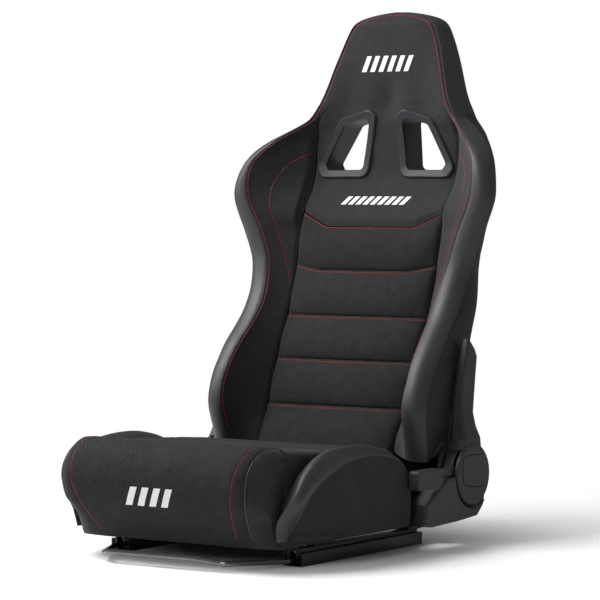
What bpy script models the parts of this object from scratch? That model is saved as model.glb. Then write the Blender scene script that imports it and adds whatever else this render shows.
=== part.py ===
"""Reclining racing seat on sliding rails: solids at real size, metres, +Z up, front towards -Y."""
import math

import bmesh
import bpy
from mathutils import Matrix, Vector

# ---- overall -------------------------------------------------------------------------------
DEPTH_MIDDLE = 0.2494          # from the rails' front end back to the middle of the seat's depth
SEAM_GAP = 0.0003              # between pieces that touch
SEAT_HEIGHT = 0.974            # floor to the top of the headrest

# ---- slide rails ---------------------------------------------------------------------------
RAIL_SPACING = 0.370           # centre to centre
RAIL_LENGTH = 0.386
RAIL_WIDTH = 0.038
RAIL_HEIGHT = 0.022
RAIL_STEEL = 0.002             # sheet thickness of both rails
LIP_WIDTH = 0.0095             # lip folded in over the slide
LIP_DROP = 0.006               # the lip's edge, folded down below the lip
HOOK_THICKNESS = 0.002
HOOK_CLEARANCE = 0.0018        # hook to the lip's folded edge
SLIDE_WEB = 0.0085             # half width of the upper rail's neck, outside
SLIDE_HEIGHT = 0.028           # floor to the top of the upper rail
BALL_DIAMETER = 0.0040
BALL_CLEARANCE = 0.0002
RETAINER_SHEET = 0.0008
BALLS_PER_ROW = 3
CAGE_END = 0.012               # retainer beyond its last balls
FLOOR_HOLE = 0.0085            # for the floor bolts
FLOOR_HOLE_INSET = 0.030
BALL_PITCH = 0.100
LATCH_PITCH = 0.010            # notch spacing along the lips
LATCH_NOTCH = 0.0064
LATCH_NOTCH_DEPTH = 0.0045
LATCH_TEETH = 3
LATCH_TOOTH = 0.0044
LATCH_TOOTH_HEIGHT = 0.002
LATCH_START = 0.170            # first tooth, back from the rails' front end
LATCH_CLEARANCE = 0.0003       # teeth below the lips: shown just unlatched, free to slide
LATCH_SLOT_TOP = 0.0030        # the slide's slots above the lips' edge, for the latched comb
SLIDE_FORWARD = 0.090          # travel from the position shown
SLIDE_BACK = 0.020             # the bar's ends stay clear of the lower rails' walls

# ---- seat release bar ----------------------------------------------------------------------
BAR_DIAMETER = 0.010
BAR_PIVOT_Y = 0.120
BAR_PIVOT_Z = 0.0145
BAR_HEIGHT = 0.0105            # bar's centre line at the front ends of the rails
BAR_END_Y = 0.150
BAR_REACH = 0.137              # grip ahead of the rails
BAR_GRIP_RISE = 0.0095         # grip above the ends
BAR_GRIP_LEFT = 0.100
BAR_GRIP_RIGHT = 0.074
BAR_CORNER = 0.135             # half width at the bar's right corner
BAR_LEFT_CORNER = 0.126
PIN_DIAMETER = 0.004

# ---- base ----------------------------------------------------------------------------------
PAN_HEIGHT = 0.046             # floor to the pan's underside
PAN_SHEET = 0.0018
PAN_HALF_WIDTH = 0.2045
PAN_FRONT = -0.065
PAN_DROP = 0.010               # turned-down edges
PAN_RISE = 0.032               # rear flange, up to the cross tube
BRACKET_LENGTH = 0.046
BRACKET_SHEET = 0.003
BRACKET_WIDTH = 0.034
BRACKET_FOOT = 0.036           # upper foot of the bracket, under the pan
BOLT_ACROSS_FLATS = 0.010
BOLT_HEAD = 0.0045
CROSS_TUBE_DIAMETER = 0.025
CROSS_TUBE_Y = 0.395
CROSS_TUBE_Z = 0.078

# ---- recliners -----------------------------------------------------------------------------
PIVOT_Y = 0.435
PIVOT_Z = 0.126
ARM_INNER = 0.247              # half width at the arm's inner face
ARM_STEEL = 0.004
CORE_DIAMETER = 0.076
CORE_DEPTH = 0.0144             # both discs of the round recliner
BRACKET_STEEL = 0.004
COVER_FACE = 0.284             # half width at the covers' outer face
COVER_WALL = 0.0025
COVER_BEVEL = 0.004
PLATE_RADIUS = 0.042           # steel plates round the pivot
BRACKET_FRONT = 0.296
BRACKET_BOTTOM = 0.0525
DISC_RADIUS = 0.0555
DISC_GAP = 0.003               # lower cover to the turning disc
DISC_CAP_DEPTH = 0.0078
DRUM_TURN = (-5, 125)          # degrees of drum wall behind the cap, clear of the lever
DRUM_LOW_TURN = (123, 172)     # the wall's shallow part, beside the lever
CAP_STEP = 0.0012              # the cap stands this much above the arm's cover
SHAFT_DIAMETER = 0.010
LEVER_STEEL = 0.003
DRUM_LEVER_GAP = 0.001
LEVER_REACH = 0.198            # pivot to the front end of the handle
LEVER_HANDLE_LENGTH = 0.074
LEVER_HANDLE_HEIGHT = 0.034
LEVER_HANDLE_INNER = 0.268
LEVER_HANDLE_OUTER = 0.290
LEVER_HANDLE_BEVEL = 0.002
LEVER_EYE = 0.012
# sections up the arm's cover: front (y, z), rear (y, z), half width
ARM_COVER = [((0.401, 0.172), (0.465, 0.172), COVER_FACE - CAP_STEP), ((0.411, 0.191), (0.465, 0.191), 0.281),
             ((0.414, 0.215), (0.459, 0.212), 0.275), ((0.418, 0.240), (0.461, 0.236), 0.268),
             ((0.424, 0.275), (0.471, 0.262), 0.264), ((0.434, 0.312), (0.476, 0.300), 0.264),
             ((0.445, 0.352), (0.481, 0.334), 0.264), ((0.451, 0.369), (0.475, 0.346), 0.263)]

# ---- backrest frame ------------------------------------------------------------------------
HOOP_DIAMETER = 0.022
HOOP_TOP_GAP = 0.0089          # hoop's top to the top of its space in the headrest
FRAME_SPACE = 0.0255            # between the foam and the rear panel
ROD_DIAMETER = 0.014
ROD_HEIGHTS = (0.245, 0.290, 0.625)
REAR_SHEET = 0.003
SPRING_WIRE = 0.0036
SPRING_PLACE = 0.075           # half width between the two springs
SPRING_SWING = 0.024
SPRING_PITCH = 0.038
ROD_BORE_CLEARANCE = 0.001

# ---- harness slots -------------------------------------------------------------------------
SLOT_CORNERS = [(0.0174, 0.796), (0.0364, 0.660), (0.1658, 0.659), (0.1031, 0.773)]
SLOT_RIM = 0.0155
SLOT_LONG_EDGE = 0.030         # longer edges get points between, to follow the curved back
SLOT_ROUNDING = 0.018
BEZEL_RAISE = 0.006            # front rim above the foam
BEZEL_SLEEVE = 0.0022
RIM_GAP = 0.0007               # rims to the faces that they follow in short straight steps

# ---- curves of the upholstery: (height, distance), read as smooth lines ------------------------
CENTRE_LINE = [(0.168, 0.360), (0.241, 0.396), (0.324, 0.430), (0.403, 0.467), (0.487, 0.501),
               (0.570, 0.528), (0.660, 0.580), (0.731, 0.587), (0.786, 0.587), (0.974, 0.608)]
REAR_LINE = [(0.168, 0.440), (0.250, 0.470), (0.330, 0.500), (0.420, 0.541), (0.500, 0.574),
             (0.600, 0.616), (0.700, 0.634), (0.780, 0.644), (0.880, 0.656), (0.974, 0.658)]
INSERT_EDGE = [(0.168, 0.150), (0.300, 0.155), (0.560, 0.158), (0.620, 0.168), (0.660, 0.176),
               (0.700, 0.171), (0.735, 0.163), (0.768, 0.150), (0.800, 0.122)]
SEAM_WIDTH = [(0.168, 0.196), (0.300, 0.201), (0.420, 0.191), (0.500, 0.201), (0.560, 0.221),
              (0.630, 0.249), (0.690, 0.245), (0.730, 0.212), (0.768, 0.163), (0.800, 0.138)]
SEAM_DEPTH = [(0.168, 0.345), (0.250, 0.322), (0.330, 0.358), (0.420, 0.438), (0.500, 0.475),
              (0.560, 0.479), (0.630, 0.475), (0.690, 0.487), (0.730, 0.519), (0.768, 0.563), (0.800, 0.575)]
RIDGE_WIDTH = [(0.168, 0.232), (0.250, 0.240), (0.330, 0.240), (0.420, 0.236), (0.500, 0.246),
               (0.560, 0.265), (0.630, 0.287), (0.690, 0.275), (0.730, 0.241), (0.768, 0.184),
               (0.800, 0.1435)]
RIDGE_DEPTH = [(0.168, 0.359), (0.250, 0.341), (0.330, 0.380), (0.420, 0.458), (0.500, 0.494),
               (0.630, 0.492), (0.690, 0.515), (0.730, 0.547), (0.768, 0.590), (0.800, 0.600)]
FLANK_WIDTH = [(0.168, 0.235), (0.420, 0.238), (0.500, 0.232), (0.560, 0.232), (0.630, 0.240),
               (0.690, 0.222), (0.730, 0.203), (0.768, 0.170), (0.800, 0.156)]
FLANK_DEPTH = [(0.168, 0.425), (0.330, 0.482), (0.420, 0.515), (0.500, 0.536), (0.560, 0.556),
               (0.630, 0.580), (0.690, 0.598), (0.730, 0.608), (0.768, 0.616), (0.800, 0.625)]
REAR_CORNER = [(0.168, 0.224), (0.420, 0.222), (0.500, 0.208), (0.560, 0.205), (0.630, 0.213),
               (0.690, 0.200), (0.730, 0.183), (0.768, 0.153), (0.800, 0.143)]
PANEL_WIDTH = [(0.168, 0.200), (0.640, 0.200), (0.700, 0.178), (0.735, 0.164), (0.768, 0.148),
               (0.830, 0.112), (0.900, 0.090), (0.945, 0.070)]
HOOP_WIDTH = [(0.185, 0.186), (0.620, 0.186), (0.660, 0.180), (0.700, 0.162), (0.735, 0.148),
              (0.768, 0.134), (0.830, 0.096)]
WING_HOLLOW = [(0.540, 0.006), (0.589, -0.006), (0.641, -0.014), (0.685, -0.024), (0.712, -0.022),
               (0.740, -0.014), (0.768, -0.003), (0.800, 0)]   # inner face behind a straight line
# share of the headrest's height, half width of its front
HEAD_WIDTH = [(0, 0.143), (0.201, 0.130), (0.408, 0.119), (0.615, 0.107), (0.816, 0.093),
              (0.897, 0.083), (0.943, 0.060), (0.989, 0.036)]
BACK_BOTTOM = 0.172
FOAM_BOTTOM = 0.135            # the insert reaches down behind the cushion
FOAM_BOTTOM_FRONT = 0.352
FOAM_BOTTOM_REAR = 0.402
# the rear panel below the wings: height, depth, half width
PANEL_SKIRT = [(0.095, 0.4133, 0.226), (0.150, 0.4334, 0.232), (0.165, 0.4390, 0.201)]
WING_TIP = 0.145               # the wings' slanted lower end, at its front
WING_END_RISE = 0.50           # how fast it rises towards the rear
HEAD_BOTTOM = 0.800
HEAD_BULGE = 0.012             # the sides swell out past the front seam
POCKET_SHARE = 0.603           # the hoop's space ends at this share of the headrest's height
HEAD_ROUNDING = 0.862          # its top rounds in above this share

# cushion outlines, (y, z) seen from the side
ROLL_OUTLINE = [(-0.060, 0.2075), (-0.099, 0.213), (-0.124, 0.203), (-0.146, 0.184), (-0.157, 0.162),
                (-0.159, 0.146), (-0.154, 0.122), (-0.142, 0.098), (-0.124, 0.074), (-0.106, 0.053),
                (-0.095, 0.041), (-0.083, 0.037), (-0.0675, 0.0385), (-0.0670, 0.0502), (-0.060, 0.0502)]
ROLL_HALF_WIDTH = 0.213
ROLL_ENDS = [(0.78, 0), (0.93, 0.010), (1, 0.026)]   # share of the half width, rounding back
ROLL_LOW = 0.080               # the roll's ends are rounded most below this
ROLL_LIP = -0.0675             # rear face of the lip, ahead of the pan
ROLL_LIP_DRAW = 20             # share of the low outline's reach taken off, per metre drawn back
ROLL_HIGH = 0.150
PAD_TOP = [(-0.059, 0.206), (0.040, 0.197), (0.137, 0.191), (0.240, 0.184), (0.306, 0.178),
           (0.330, 0.168), (0.341, 0.150)]
PAD_REAR = 0.343
PAD_NOTCH = 0.272              # behind this the backrest's wings come down beside the pad
PAD_REAR_HALF_WIDTH = 0.146
BOLSTER_CREST = [(-0.088, 0.051), (-0.106, 0.097), (-0.096, 0.139), (-0.050, 0.170), (0.005, 0.194),
                 (0.070, 0.202), (0.133, 0.200), (0.197, 0.186), (0.243, 0.161), (0.259, 0.134)]
BOLSTER_SEAM = [(-0.058, 0.051), (-0.060, 0.078), (-0.060, 0.108), (-0.032, 0.141), (0.014, 0.164),
                (0.060, 0.179), (0.123, 0.183), (0.170, 0.179), (0.219, 0.165), (0.250, 0.136)]
BOLSTER_TUCK = (0.06, 0.30, 0.95)   # share of the full width at the tip's first points
BOLSTER_CREST_WIDTH = 0.245
BOLSTER_OUTER = 0.262


# ---- tools -----------------------------------------------------------------------------------
def smooth(points, where):
    """Value of the smooth line through points at a height (or any first coordinate)."""
    points = sorted(points)
    if where <= points[0][0]:
        return points[0][1]
    if where >= points[-1][0]:
        return points[-1][1]
    index = max(i for i in range(len(points) - 1) if points[i][0] <= where)
    slopes = []
    for i in (index, index + 1):
        before = points[max(i - 1, 0)]
        after = points[min(i + 1, len(points) - 1)]
        slopes.append((after[1] - before[1]) / (after[0] - before[0]))
    (x0, y0), (x1, y1) = points[index], points[index + 1]
    span = x1 - x0
    t = (where - x0) / span
    return (y0 * (2 * t**3 - 3 * t**2 + 1) + y1 * (3 * t**2 - 2 * t**3)
            + span * slopes[0] * (t**3 - 2 * t**2 + t) + span * slopes[1] * (t**3 - t**2))


def steps(low, high, count):
    return [low + (high - low) * i / (count - 1) for i in range(count)]


def paint(name, color, rough, metal=0.0):
    material = bpy.data.materials.new(name)
    material.use_nodes = True
    shader = material.node_tree.nodes["Principled BSDF"]
    shader.inputs["Base Color"].default_value = (*color, 1)
    shader.inputs["Roughness"].default_value = rough
    shader.inputs["Metallic"].default_value = metal
    return material


def place(obj, material, parent):
    """Material and parent; the mesh stays in the seat's own frame."""
    if obj.data.materials:
        obj.data.materials[0] = material
    else:
        obj.data.materials.append(material)
    obj.parent = parent
    obj.location = -Vector(parent["axis_point"])
    return obj


def mesh_object(name, bm, angle=35):
    bmesh.ops.recalc_face_normals(bm, faces=bm.faces)
    if bm.calc_volume(signed=True) < 0:
        bmesh.ops.reverse_faces(bm, faces=bm.faces)
    mesh = bpy.data.meshes.new(name)
    bm.to_mesh(mesh)
    bm.free()
    mesh.shade_smooth()
    mesh.set_sharp_from_angle(angle=math.radians(angle))
    obj = bpy.data.objects.new(name, mesh)
    bpy.context.scene.collection.objects.link(obj)
    return obj


def loft(name, rings, strips=False):
    """Closed solid through rings of equal count; its ends are flat, or strips across bent ones."""
    bm = bmesh.new()
    loops = [[bm.verts.new(point) for point in ring] for ring in rings]
    count = len(loops[0])
    for low, high in zip(loops, loops[1:]):
        for i in range(count):
            j = (i + 1) % count
            bm.faces.new((low[i], low[j], high[j], high[i]))
    if strips:
        for ring in (loops[0], loops[-1]):
            for i in range(count // 2 - 1):
                bm.faces.new((ring[i], ring[i + 1], ring[count - 2 - i], ring[count - 1 - i]))
    else:
        bm.faces.new(loops[0][::-1])
        bm.faces.new(loops[-1])
    return mesh_object(name, bm)


def extruded(name, outline, low, high, axis="X"):
    """Prism of a closed outline: (y, z) points along X, (x, z) along Y, (x, y) along Z."""
    def point(a, b, depth):
        if axis == "X":
            return (depth, a, b)
        if axis == "Y":
            return (a, depth, b)
        return (a, b, depth)
    return loft(name, [[point(a, b, depth) for a, b in outline] for depth in (low, high)])


def box(name, low, high):
    outline = [(low[0], low[1]), (high[0], low[1]), (high[0], high[1]), (low[0], high[1])]
    return extruded(name, outline, low[2], high[2], "Z")


def circle(centre, radius, count, start=0.0, turn=360.0):
    whole = abs(turn) >= 360
    last = count if whole else count - 1
    return [(centre[0] + radius * math.cos(math.radians(start + turn * i / last)),
             centre[1] + radius * math.sin(math.radians(start + turn * i / last)))
            for i in range(count)]


def rounded(corners, radius, count=4):
    """Outline with each corner replaced by an arc."""
    outline = []
    total = len(corners)
    for i, corner in enumerate(corners):
        here = Vector(corner)
        back = (Vector(corners[i - 1]) - here).normalized()
        ahead = (Vector(corners[(i + 1) % total]) - here).normalized()
        half = back.angle(ahead) / 2
        centre = here + (back + ahead).normalized() * radius / math.sin(half)
        first = here + back * radius / math.tan(half) - centre
        last = here + ahead * radius / math.tan(half) - centre
        for k in range(count + 1):
            mix = first.lerp(last, k / count).normalized() * radius
            outline.append(tuple(centre + mix))
    return outline


def inset(corners, distance):
    """Polygon moved inwards by a distance, or outwards if it is negative."""
    total = len(corners)
    area = sum(corners[i - 1][0] * corners[i][1] - corners[i][0] * corners[i - 1][1] for i in range(total))
    side = 1 if area > 0 else -1
    moved = []
    for i, corner in enumerate(corners):
        here = Vector(corner)
        back = (here - Vector(corners[i - 1])).normalized()
        ahead = (Vector(corners[(i + 1) % total]) - here).normalized()
        normals = [Vector((-edge.y, edge.x)) * side for edge in (back, ahead)]
        middle = (normals[0] + normals[1]).normalized()
        moved.append(tuple(here + middle * distance / middle.dot(normals[0])))
    return moved


def tube(name, points, diameter, sides=10):
    """Round bar along a smooth route."""
    curve = bpy.data.curves.new(name, "CURVE")
    curve.dimensions = "3D"
    curve.bevel_depth = diameter / 2
    curve.bevel_resolution = (sides - 4) // 2
    curve.use_fill_caps = True
    spline = curve.splines.new("POLY")
    spline.points.add(len(points) - 1)
    for target, point in zip(spline.points, points):
        target.co = (*point, 1)
    obj = bpy.data.objects.new(name, curve)
    bpy.context.scene.collection.objects.link(obj)
    return obj


def convert(obj):
    """Turns a curve object's tube into its mesh."""
    graph = bpy.context.evaluated_depsgraph_get()
    mesh = bpy.data.meshes.new_from_object(obj.evaluated_get(graph))
    name = obj.name
    bpy.data.objects.remove(obj)
    bm = bmesh.new()
    bm.from_mesh(mesh)
    bmesh.ops.remove_doubles(bm, verts=bm.verts, dist=1e-6)
    return mesh_object(name, bm)


def bent(corners, radius, count=4):
    """Route through corners with each inner corner bent on an arc."""
    route = [Vector(corners[0])]
    for before, here, after in zip(corners, corners[1:], corners[2:]):
        here = Vector(here)
        back = (Vector(before) - here).normalized()
        ahead = (Vector(after) - here).normalized()
        half = back.angle(ahead) / 2
        cut = radius / math.tan(half)
        centre = here + (back + ahead).normalized() * radius / math.sin(half)
        first = here + back * cut - centre
        last = here + ahead * cut - centre
        for k in range(count + 1):
            route.append(centre + first.lerp(last, k / count).normalized() * radius)
    route.append(Vector(corners[-1]))
    return [tuple(point) for point in route]


def combine(obj, others, operation="DIFFERENCE"):
    """Cuts, or joins, with an exact Boolean that is applied at once."""
    for other in others:
        modifier = obj.modifiers.new(operation.lower(), "BOOLEAN")
        modifier.operation = operation
        modifier.solver = "EXACT"
        modifier.object = other
        other.hide_render = True
        other.display_type = "WIRE"
    graph = bpy.context.evaluated_depsgraph_get()
    baked = bpy.data.meshes.new_from_object(obj.evaluated_get(graph))
    for modifier in list(obj.modifiers):
        obj.modifiers.remove(modifier)
    obj.data = baked
    baked.shade_smooth()
    baked.set_sharp_from_angle(angle=math.radians(35))
    for other in others:
        bpy.data.objects.remove(other)
    return obj


def mirrored(points):
    return [(-point[0], *point[1:]) for point in points]


def empty(name, location, parent=None):
    obj = bpy.data.objects.new(name, None)
    bpy.context.scene.collection.objects.link(obj)
    obj["axis_point"] = location
    if parent is not None:
        obj.parent = parent
        obj.location = Vector(location) - Vector(parent["axis_point"])
    else:
        obj.location = Vector(location) - Vector((0, DEPTH_MIDDLE, 0))
    return obj


SIDES = (("left", -1), ("right", 1))


# ---- rails -----------------------------------------------------------------------------------
def sheet_section(half, shift):
    """Symmetric outline from its right half, listed from the middle's top round to its bottom."""
    return [(shift + x, z) for x, z in half] + [(shift - x, z) for x, z in reversed(half)]


HALF_RAIL = RAIL_WIDTH / 2
LIP_EDGE = HALF_RAIL - LIP_WIDTH
LIP_BOTTOM = RAIL_HEIGHT - RAIL_STEEL - LIP_DROP
BALL_SPACE = BALL_DIAMETER + 2 * BALL_CLEARANCE
FOOT_LOW = RAIL_STEEL + BALL_SPACE
HOOK_INNER = LIP_EDGE + RAIL_STEEL + HOOK_CLEARANCE
HOOK_OUTER = HOOK_INNER + HOOK_THICKNESS
HOOK_TOP = RAIL_HEIGHT - RAIL_STEEL - BALL_SPACE
RAIL_MIDDLE = RAIL_LENGTH / 2
TOOTH_LOW = LIP_BOTTOM - LATCH_CLEARANCE - LATCH_TOOTH_HEIGHT
BOLT_SHANK = BOLT_ACROSS_FLATS * 0.6
BRACKET_TOP = PAN_HEIGHT - SEAM_GAP


def many_boxes(name, boxes):
    bm = bmesh.new()
    for low, high in boxes:
        size = Vector(high) - Vector(low)
        middle = (Vector(high) + Vector(low)) / 2
        bmesh.ops.create_cube(bm, size=1, matrix=Matrix.Translation(middle) @ Matrix.Diagonal((*size, 1)))
    return mesh_object(name, bm)


def rod_solid(name, start, end, diameter, sides=12):
    """Straight round bar between two points."""
    start, end = Vector(start), Vector(end)
    bm = bmesh.new()
    bmesh.ops.create_cone(bm, cap_ends=True, segments=sides, radius1=diameter / 2, radius2=diameter / 2,
                          depth=(end - start).length)
    turn = (end - start).to_track_quat("Z", "Y").to_matrix().to_4x4()
    bm.transform(Matrix.Translation((start + end) / 2) @ turn)
    return mesh_object(name, bm)


def lower_rail(name, x):
    half = [(LIP_EDGE, RAIL_HEIGHT), (LIP_EDGE, LIP_BOTTOM), (LIP_EDGE + RAIL_STEEL, LIP_BOTTOM),
            (LIP_EDGE + RAIL_STEEL, RAIL_HEIGHT - RAIL_STEEL),
            (HALF_RAIL - RAIL_STEEL, RAIL_HEIGHT - RAIL_STEEL), (HALF_RAIL - RAIL_STEEL, RAIL_STEEL)]
    outer = [(HALF_RAIL, 0), (HALF_RAIL, RAIL_HEIGHT)]
    outline = ([(x + a, b) for a, b in outer] + [(x + a, b) for a, b in half]
               + [(x - a, b) for a, b in reversed(half)] + [(x - a, b) for a, b in reversed(outer)])
    rail = extruded(name, outline, 0, RAIL_LENGTH, "Y")
    notches = []
    count = LATCH_TEETH + round((SLIDE_FORWARD + SLIDE_BACK) / LATCH_PITCH)
    for i in range(count):
        y = LATCH_START - SLIDE_FORWARD + i * LATCH_PITCH
        for side in (-1, 1):
            edges = sorted((x + side * (LIP_EDGE - 0.001), x + side * (LIP_EDGE + RAIL_STEEL + 0.001)))
            notches.append(((edges[0], y - LATCH_NOTCH / 2, LIP_BOTTOM - 0.001),
                            (edges[1], y + LATCH_NOTCH / 2, LIP_BOTTOM + LATCH_NOTCH_DEPTH)))
    holes = [rod_solid("hole", (x, y, -0.001), (x, y, RAIL_STEEL + 0.001), FLOOR_HOLE)
             for y in (FLOOR_HOLE_INSET, RAIL_LENGTH - FLOOR_HOLE_INSET)]
    return combine(rail, [many_boxes("notches", notches), *holes])


def upper_rail(name, x):
    top = SLIDE_HEIGHT
    half = [(SLIDE_WEB, top), (SLIDE_WEB, FOOT_LOW + RAIL_STEEL), (HOOK_INNER, FOOT_LOW + RAIL_STEEL),
            (HOOK_INNER, HOOK_TOP), (HOOK_OUTER, HOOK_TOP), (HOOK_OUTER, FOOT_LOW),
            (SLIDE_WEB - RAIL_STEEL, FOOT_LOW), (SLIDE_WEB - RAIL_STEEL, top - RAIL_STEEL)]
    rail = extruded(name, sheet_section(half, x), 0, RAIL_LENGTH, "Y")
    slots = []
    for i in range(LATCH_TEETH):
        y = LATCH_START + i * LATCH_PITCH
        slots.append(((x - SLIDE_WEB - 0.0005, y - LATCH_NOTCH / 2, FOOT_LOW + RAIL_STEEL + 0.0004),
                      (x + SLIDE_WEB + 0.0005, y + LATCH_NOTCH / 2, LIP_BOTTOM + LATCH_SLOT_TOP)))
    pin = rod_solid("pin_hole", (x - SLIDE_WEB - 0.001, BAR_PIVOT_Y, BAR_PIVOT_Z),
                    (x + SLIDE_WEB + 0.001, BAR_PIVOT_Y, BAR_PIVOT_Z), PIN_DIAMETER + 0.0004)
    holes = [rod_solid("bolt_hole", (x, y, top - RAIL_STEEL - 0.001), (x, y, top + 0.001),
                       BOLT_SHANK + 0.0006) for y in bolt_places()]
    return combine(rail, [many_boxes("slots", slots), pin, *holes])


def bolt_places():
    """Bolts through the four brackets into the upper rails, from the rails' front end."""
    inset_end = BRACKET_LENGTH * 0.22
    spacing = BRACKET_LENGTH * 0.48
    front = [inset_end, inset_end + spacing]
    return front + [RAIL_LENGTH - y for y in reversed(front)]


def ball_cage(name, x):
    """Sheet retainer folded round the slide, with a row of balls under each lip and rollers below."""
    low = RAIL_STEEL + BALL_SPACE / 2 - RETAINER_SHEET / 2
    high = HOOK_TOP + BALL_SPACE / 2 + RETAINER_SHEET / 2
    outer = HALF_RAIL - RAIL_STEEL - (HALF_RAIL - RAIL_STEEL - HOOK_OUTER - RETAINER_SHEET) / 2
    ball_x = (HOOK_INNER + HOOK_OUTER) / 2
    half = [(ball_x - RETAINER_SHEET, high), (outer, high), (outer, low)]
    inner = [(outer - RETAINER_SHEET, low + RETAINER_SHEET), (outer - RETAINER_SHEET, high - RETAINER_SHEET),
             (ball_x - RETAINER_SHEET, high - RETAINER_SHEET)]
    outline = ([(x + a, b) for a, b in half] + [(x - a, b) for a, b in reversed(half)]
               + [(x - a, b) for a, b in reversed(inner)] + [(x + a, b) for a, b in inner])
    reach = BALL_PITCH * (BALLS_PER_ROW - 1) / 2
    cage = extruded(name, outline, RAIL_MIDDLE - reach - CAGE_END, RAIL_MIDDLE + reach + CAGE_END, "Y")
    round_parts = []
    for i in range(BALLS_PER_ROW):
        y = RAIL_MIDDLE - reach + i * BALL_PITCH
        roller_z = RAIL_STEEL + BALL_SPACE / 2
        round_parts.append(rod_solid("roller", (x - HOOK_OUTER + 0.0003, y, roller_z),
                                     (x + HOOK_OUTER - 0.0003, y, roller_z), BALL_DIAMETER, 8))
        for side in (-1, 1):
            bm = bmesh.new()
            bmesh.ops.create_uvsphere(bm, u_segments=8, v_segments=5, radius=BALL_DIAMETER / 2)
            bm.transform(Matrix.Translation((x + side * ball_x, y, HOOK_TOP + BALL_SPACE / 2)))
            round_parts.append(mesh_object("ball", bm))
    return combine(cage, round_parts, "UNION")


def latch_plate(name, x):
    """Comb behind the bar's end, whose teeth reach through the slide into the rail's notches."""
    spine = SLIDE_WEB - RAIL_STEEL - 0.0009
    tip = HOOK_INNER - 0.0004
    right = [(spine, BAR_END_Y + SEAM_GAP)]
    for i in range(LATCH_TEETH):
        y = LATCH_START + i * LATCH_PITCH
        right += [(spine, y - LATCH_TOOTH / 2), (tip, y - LATCH_TOOTH / 2),
                  (tip, y + LATCH_TOOTH / 2), (spine, y + LATCH_TOOTH / 2)]
    outline = [(x + a, b) for a, b in right] + [(x - a, b) for a, b in reversed(right)]
    return extruded(name, outline, TOOTH_LOW, TOOTH_LOW + LATCH_TOOTH_HEIGHT, "Z")


def release_bar(name):
    """Bent round bar: a raised grip ahead of the rails, its ends pivoted inside the upper rails."""
    x = RAIL_SPACING / 2
    grip_y, grip_z = -BAR_REACH, BAR_HEIGHT + BAR_GRIP_RISE
    right = [(BAR_GRIP_RIGHT, grip_y, grip_z), (BAR_CORNER, grip_y + 0.008, BAR_HEIGHT + 0.004),
             (x, -0.018, BAR_HEIGHT), (x, 0.012, BAR_HEIGHT), (x, 0.088, BAR_PIVOT_Z),
             (x, BAR_END_Y, BAR_PIVOT_Z)]
    left = [(BAR_GRIP_LEFT, grip_y - 0.003, grip_z), (BAR_LEFT_CORNER, grip_y + 0.016, BAR_HEIGHT + 0.004)]
    left = mirrored(left + right[2:])
    obj = convert(tube(name, bent(left[::-1] + right, 0.011, 2), BAR_DIAMETER))
    holes = [rod_solid("bar_hole", (side * x - 0.01, BAR_PIVOT_Y, BAR_PIVOT_Z),
                       (side * x + 0.01, BAR_PIVOT_Y, BAR_PIVOT_Z), PIN_DIAMETER + 0.0004, 10)
             for side in (-1, 1)]
    return combine(obj, holes)


def rail_bracket(name, x, front):
    """Z of sheet steel from the slide's top up to the pan."""
    low = SLIDE_HEIGHT + SEAM_GAP
    sheet = BRACKET_SHEET
    rise = BRACKET_LENGTH - 0.006
    shape = [(0, low), (rise + sheet, low), (rise + sheet, BRACKET_TOP - sheet),
             (rise + BRACKET_FOOT, BRACKET_TOP - sheet), (rise + BRACKET_FOOT, BRACKET_TOP),
             (rise, BRACKET_TOP), (rise, low + sheet), (0, low + sheet)]
    if not front:
        shape = [(RAIL_LENGTH - y, z) for y, z in reversed(shape)]
    bracket = extruded(name, shape, x - BRACKET_WIDTH / 2, x + BRACKET_WIDTH / 2)
    places = bolt_places()[:2] if front else bolt_places()[2:]
    return combine(bracket, [rod_solid("bolt_hole", (x, y, low - 0.001), (x, y, low + sheet + 0.001),
                                       BOLT_SHANK + 0.0006) for y in places])


def rail_bolt(name, x, y):
    """Hex bolt with a chamfered head and its shank down through bracket and slide."""
    seat_z = SLIDE_HEIGHT + SEAM_GAP + BRACKET_SHEET + SEAM_GAP
    across = BOLT_ACROSS_FLATS / math.sqrt(3)
    levels = [(SLIDE_HEIGHT - RAIL_STEEL - 0.004, BOLT_SHANK / 2), (seat_z, BOLT_SHANK / 2),
              (seat_z, across), (seat_z + BOLT_HEAD - 0.0008, across), (seat_z + BOLT_HEAD, across * 0.86)]
    bm_rings = [[(x + a, y + b, z) for a, b in circle((0, 0), radius, 6)] for z, radius in levels]
    return loft(name, bm_rings)


# ---- base ------------------------------------------------------------------------------------
PAN_TOP_FACE = PAN_HEIGHT + PAN_SHEET
CUSHION_BOTTOM = PAN_TOP_FACE + SEAM_GAP
PAN_REAR = CROSS_TUBE_Y - CROSS_TUBE_DIAMETER / 2 - SEAM_GAP


def seat_pan(name):
    """Sheet with turned-down edges; its rear flange rises to the cross tube."""
    low, top, edge = PAN_HEIGHT, PAN_TOP_FACE, PAN_HEIGHT - PAN_DROP
    profile = [(PAN_FRONT, edge), (PAN_FRONT + PAN_SHEET, edge), (PAN_FRONT + PAN_SHEET, low),
               (PAN_REAR, low), (PAN_REAR, low + PAN_RISE), (PAN_REAR - PAN_SHEET, low + PAN_RISE),
               (PAN_REAR - PAN_SHEET, top), (PAN_FRONT, top)]
    pan = extruded(name, profile, -PAN_HALF_WIDTH, PAN_HALF_WIDTH)
    flanges = []
    for side in (-1, 1):
        inner, outer = sorted((side * PAN_HALF_WIDTH, side * (PAN_HALF_WIDTH - PAN_SHEET)))
        flanges.append(box("flange", (inner, PAN_FRONT, edge), (outer, PAN_REAR, low + PAN_SHEET / 2)))
    return combine(pan, flanges, "UNION")


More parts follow.
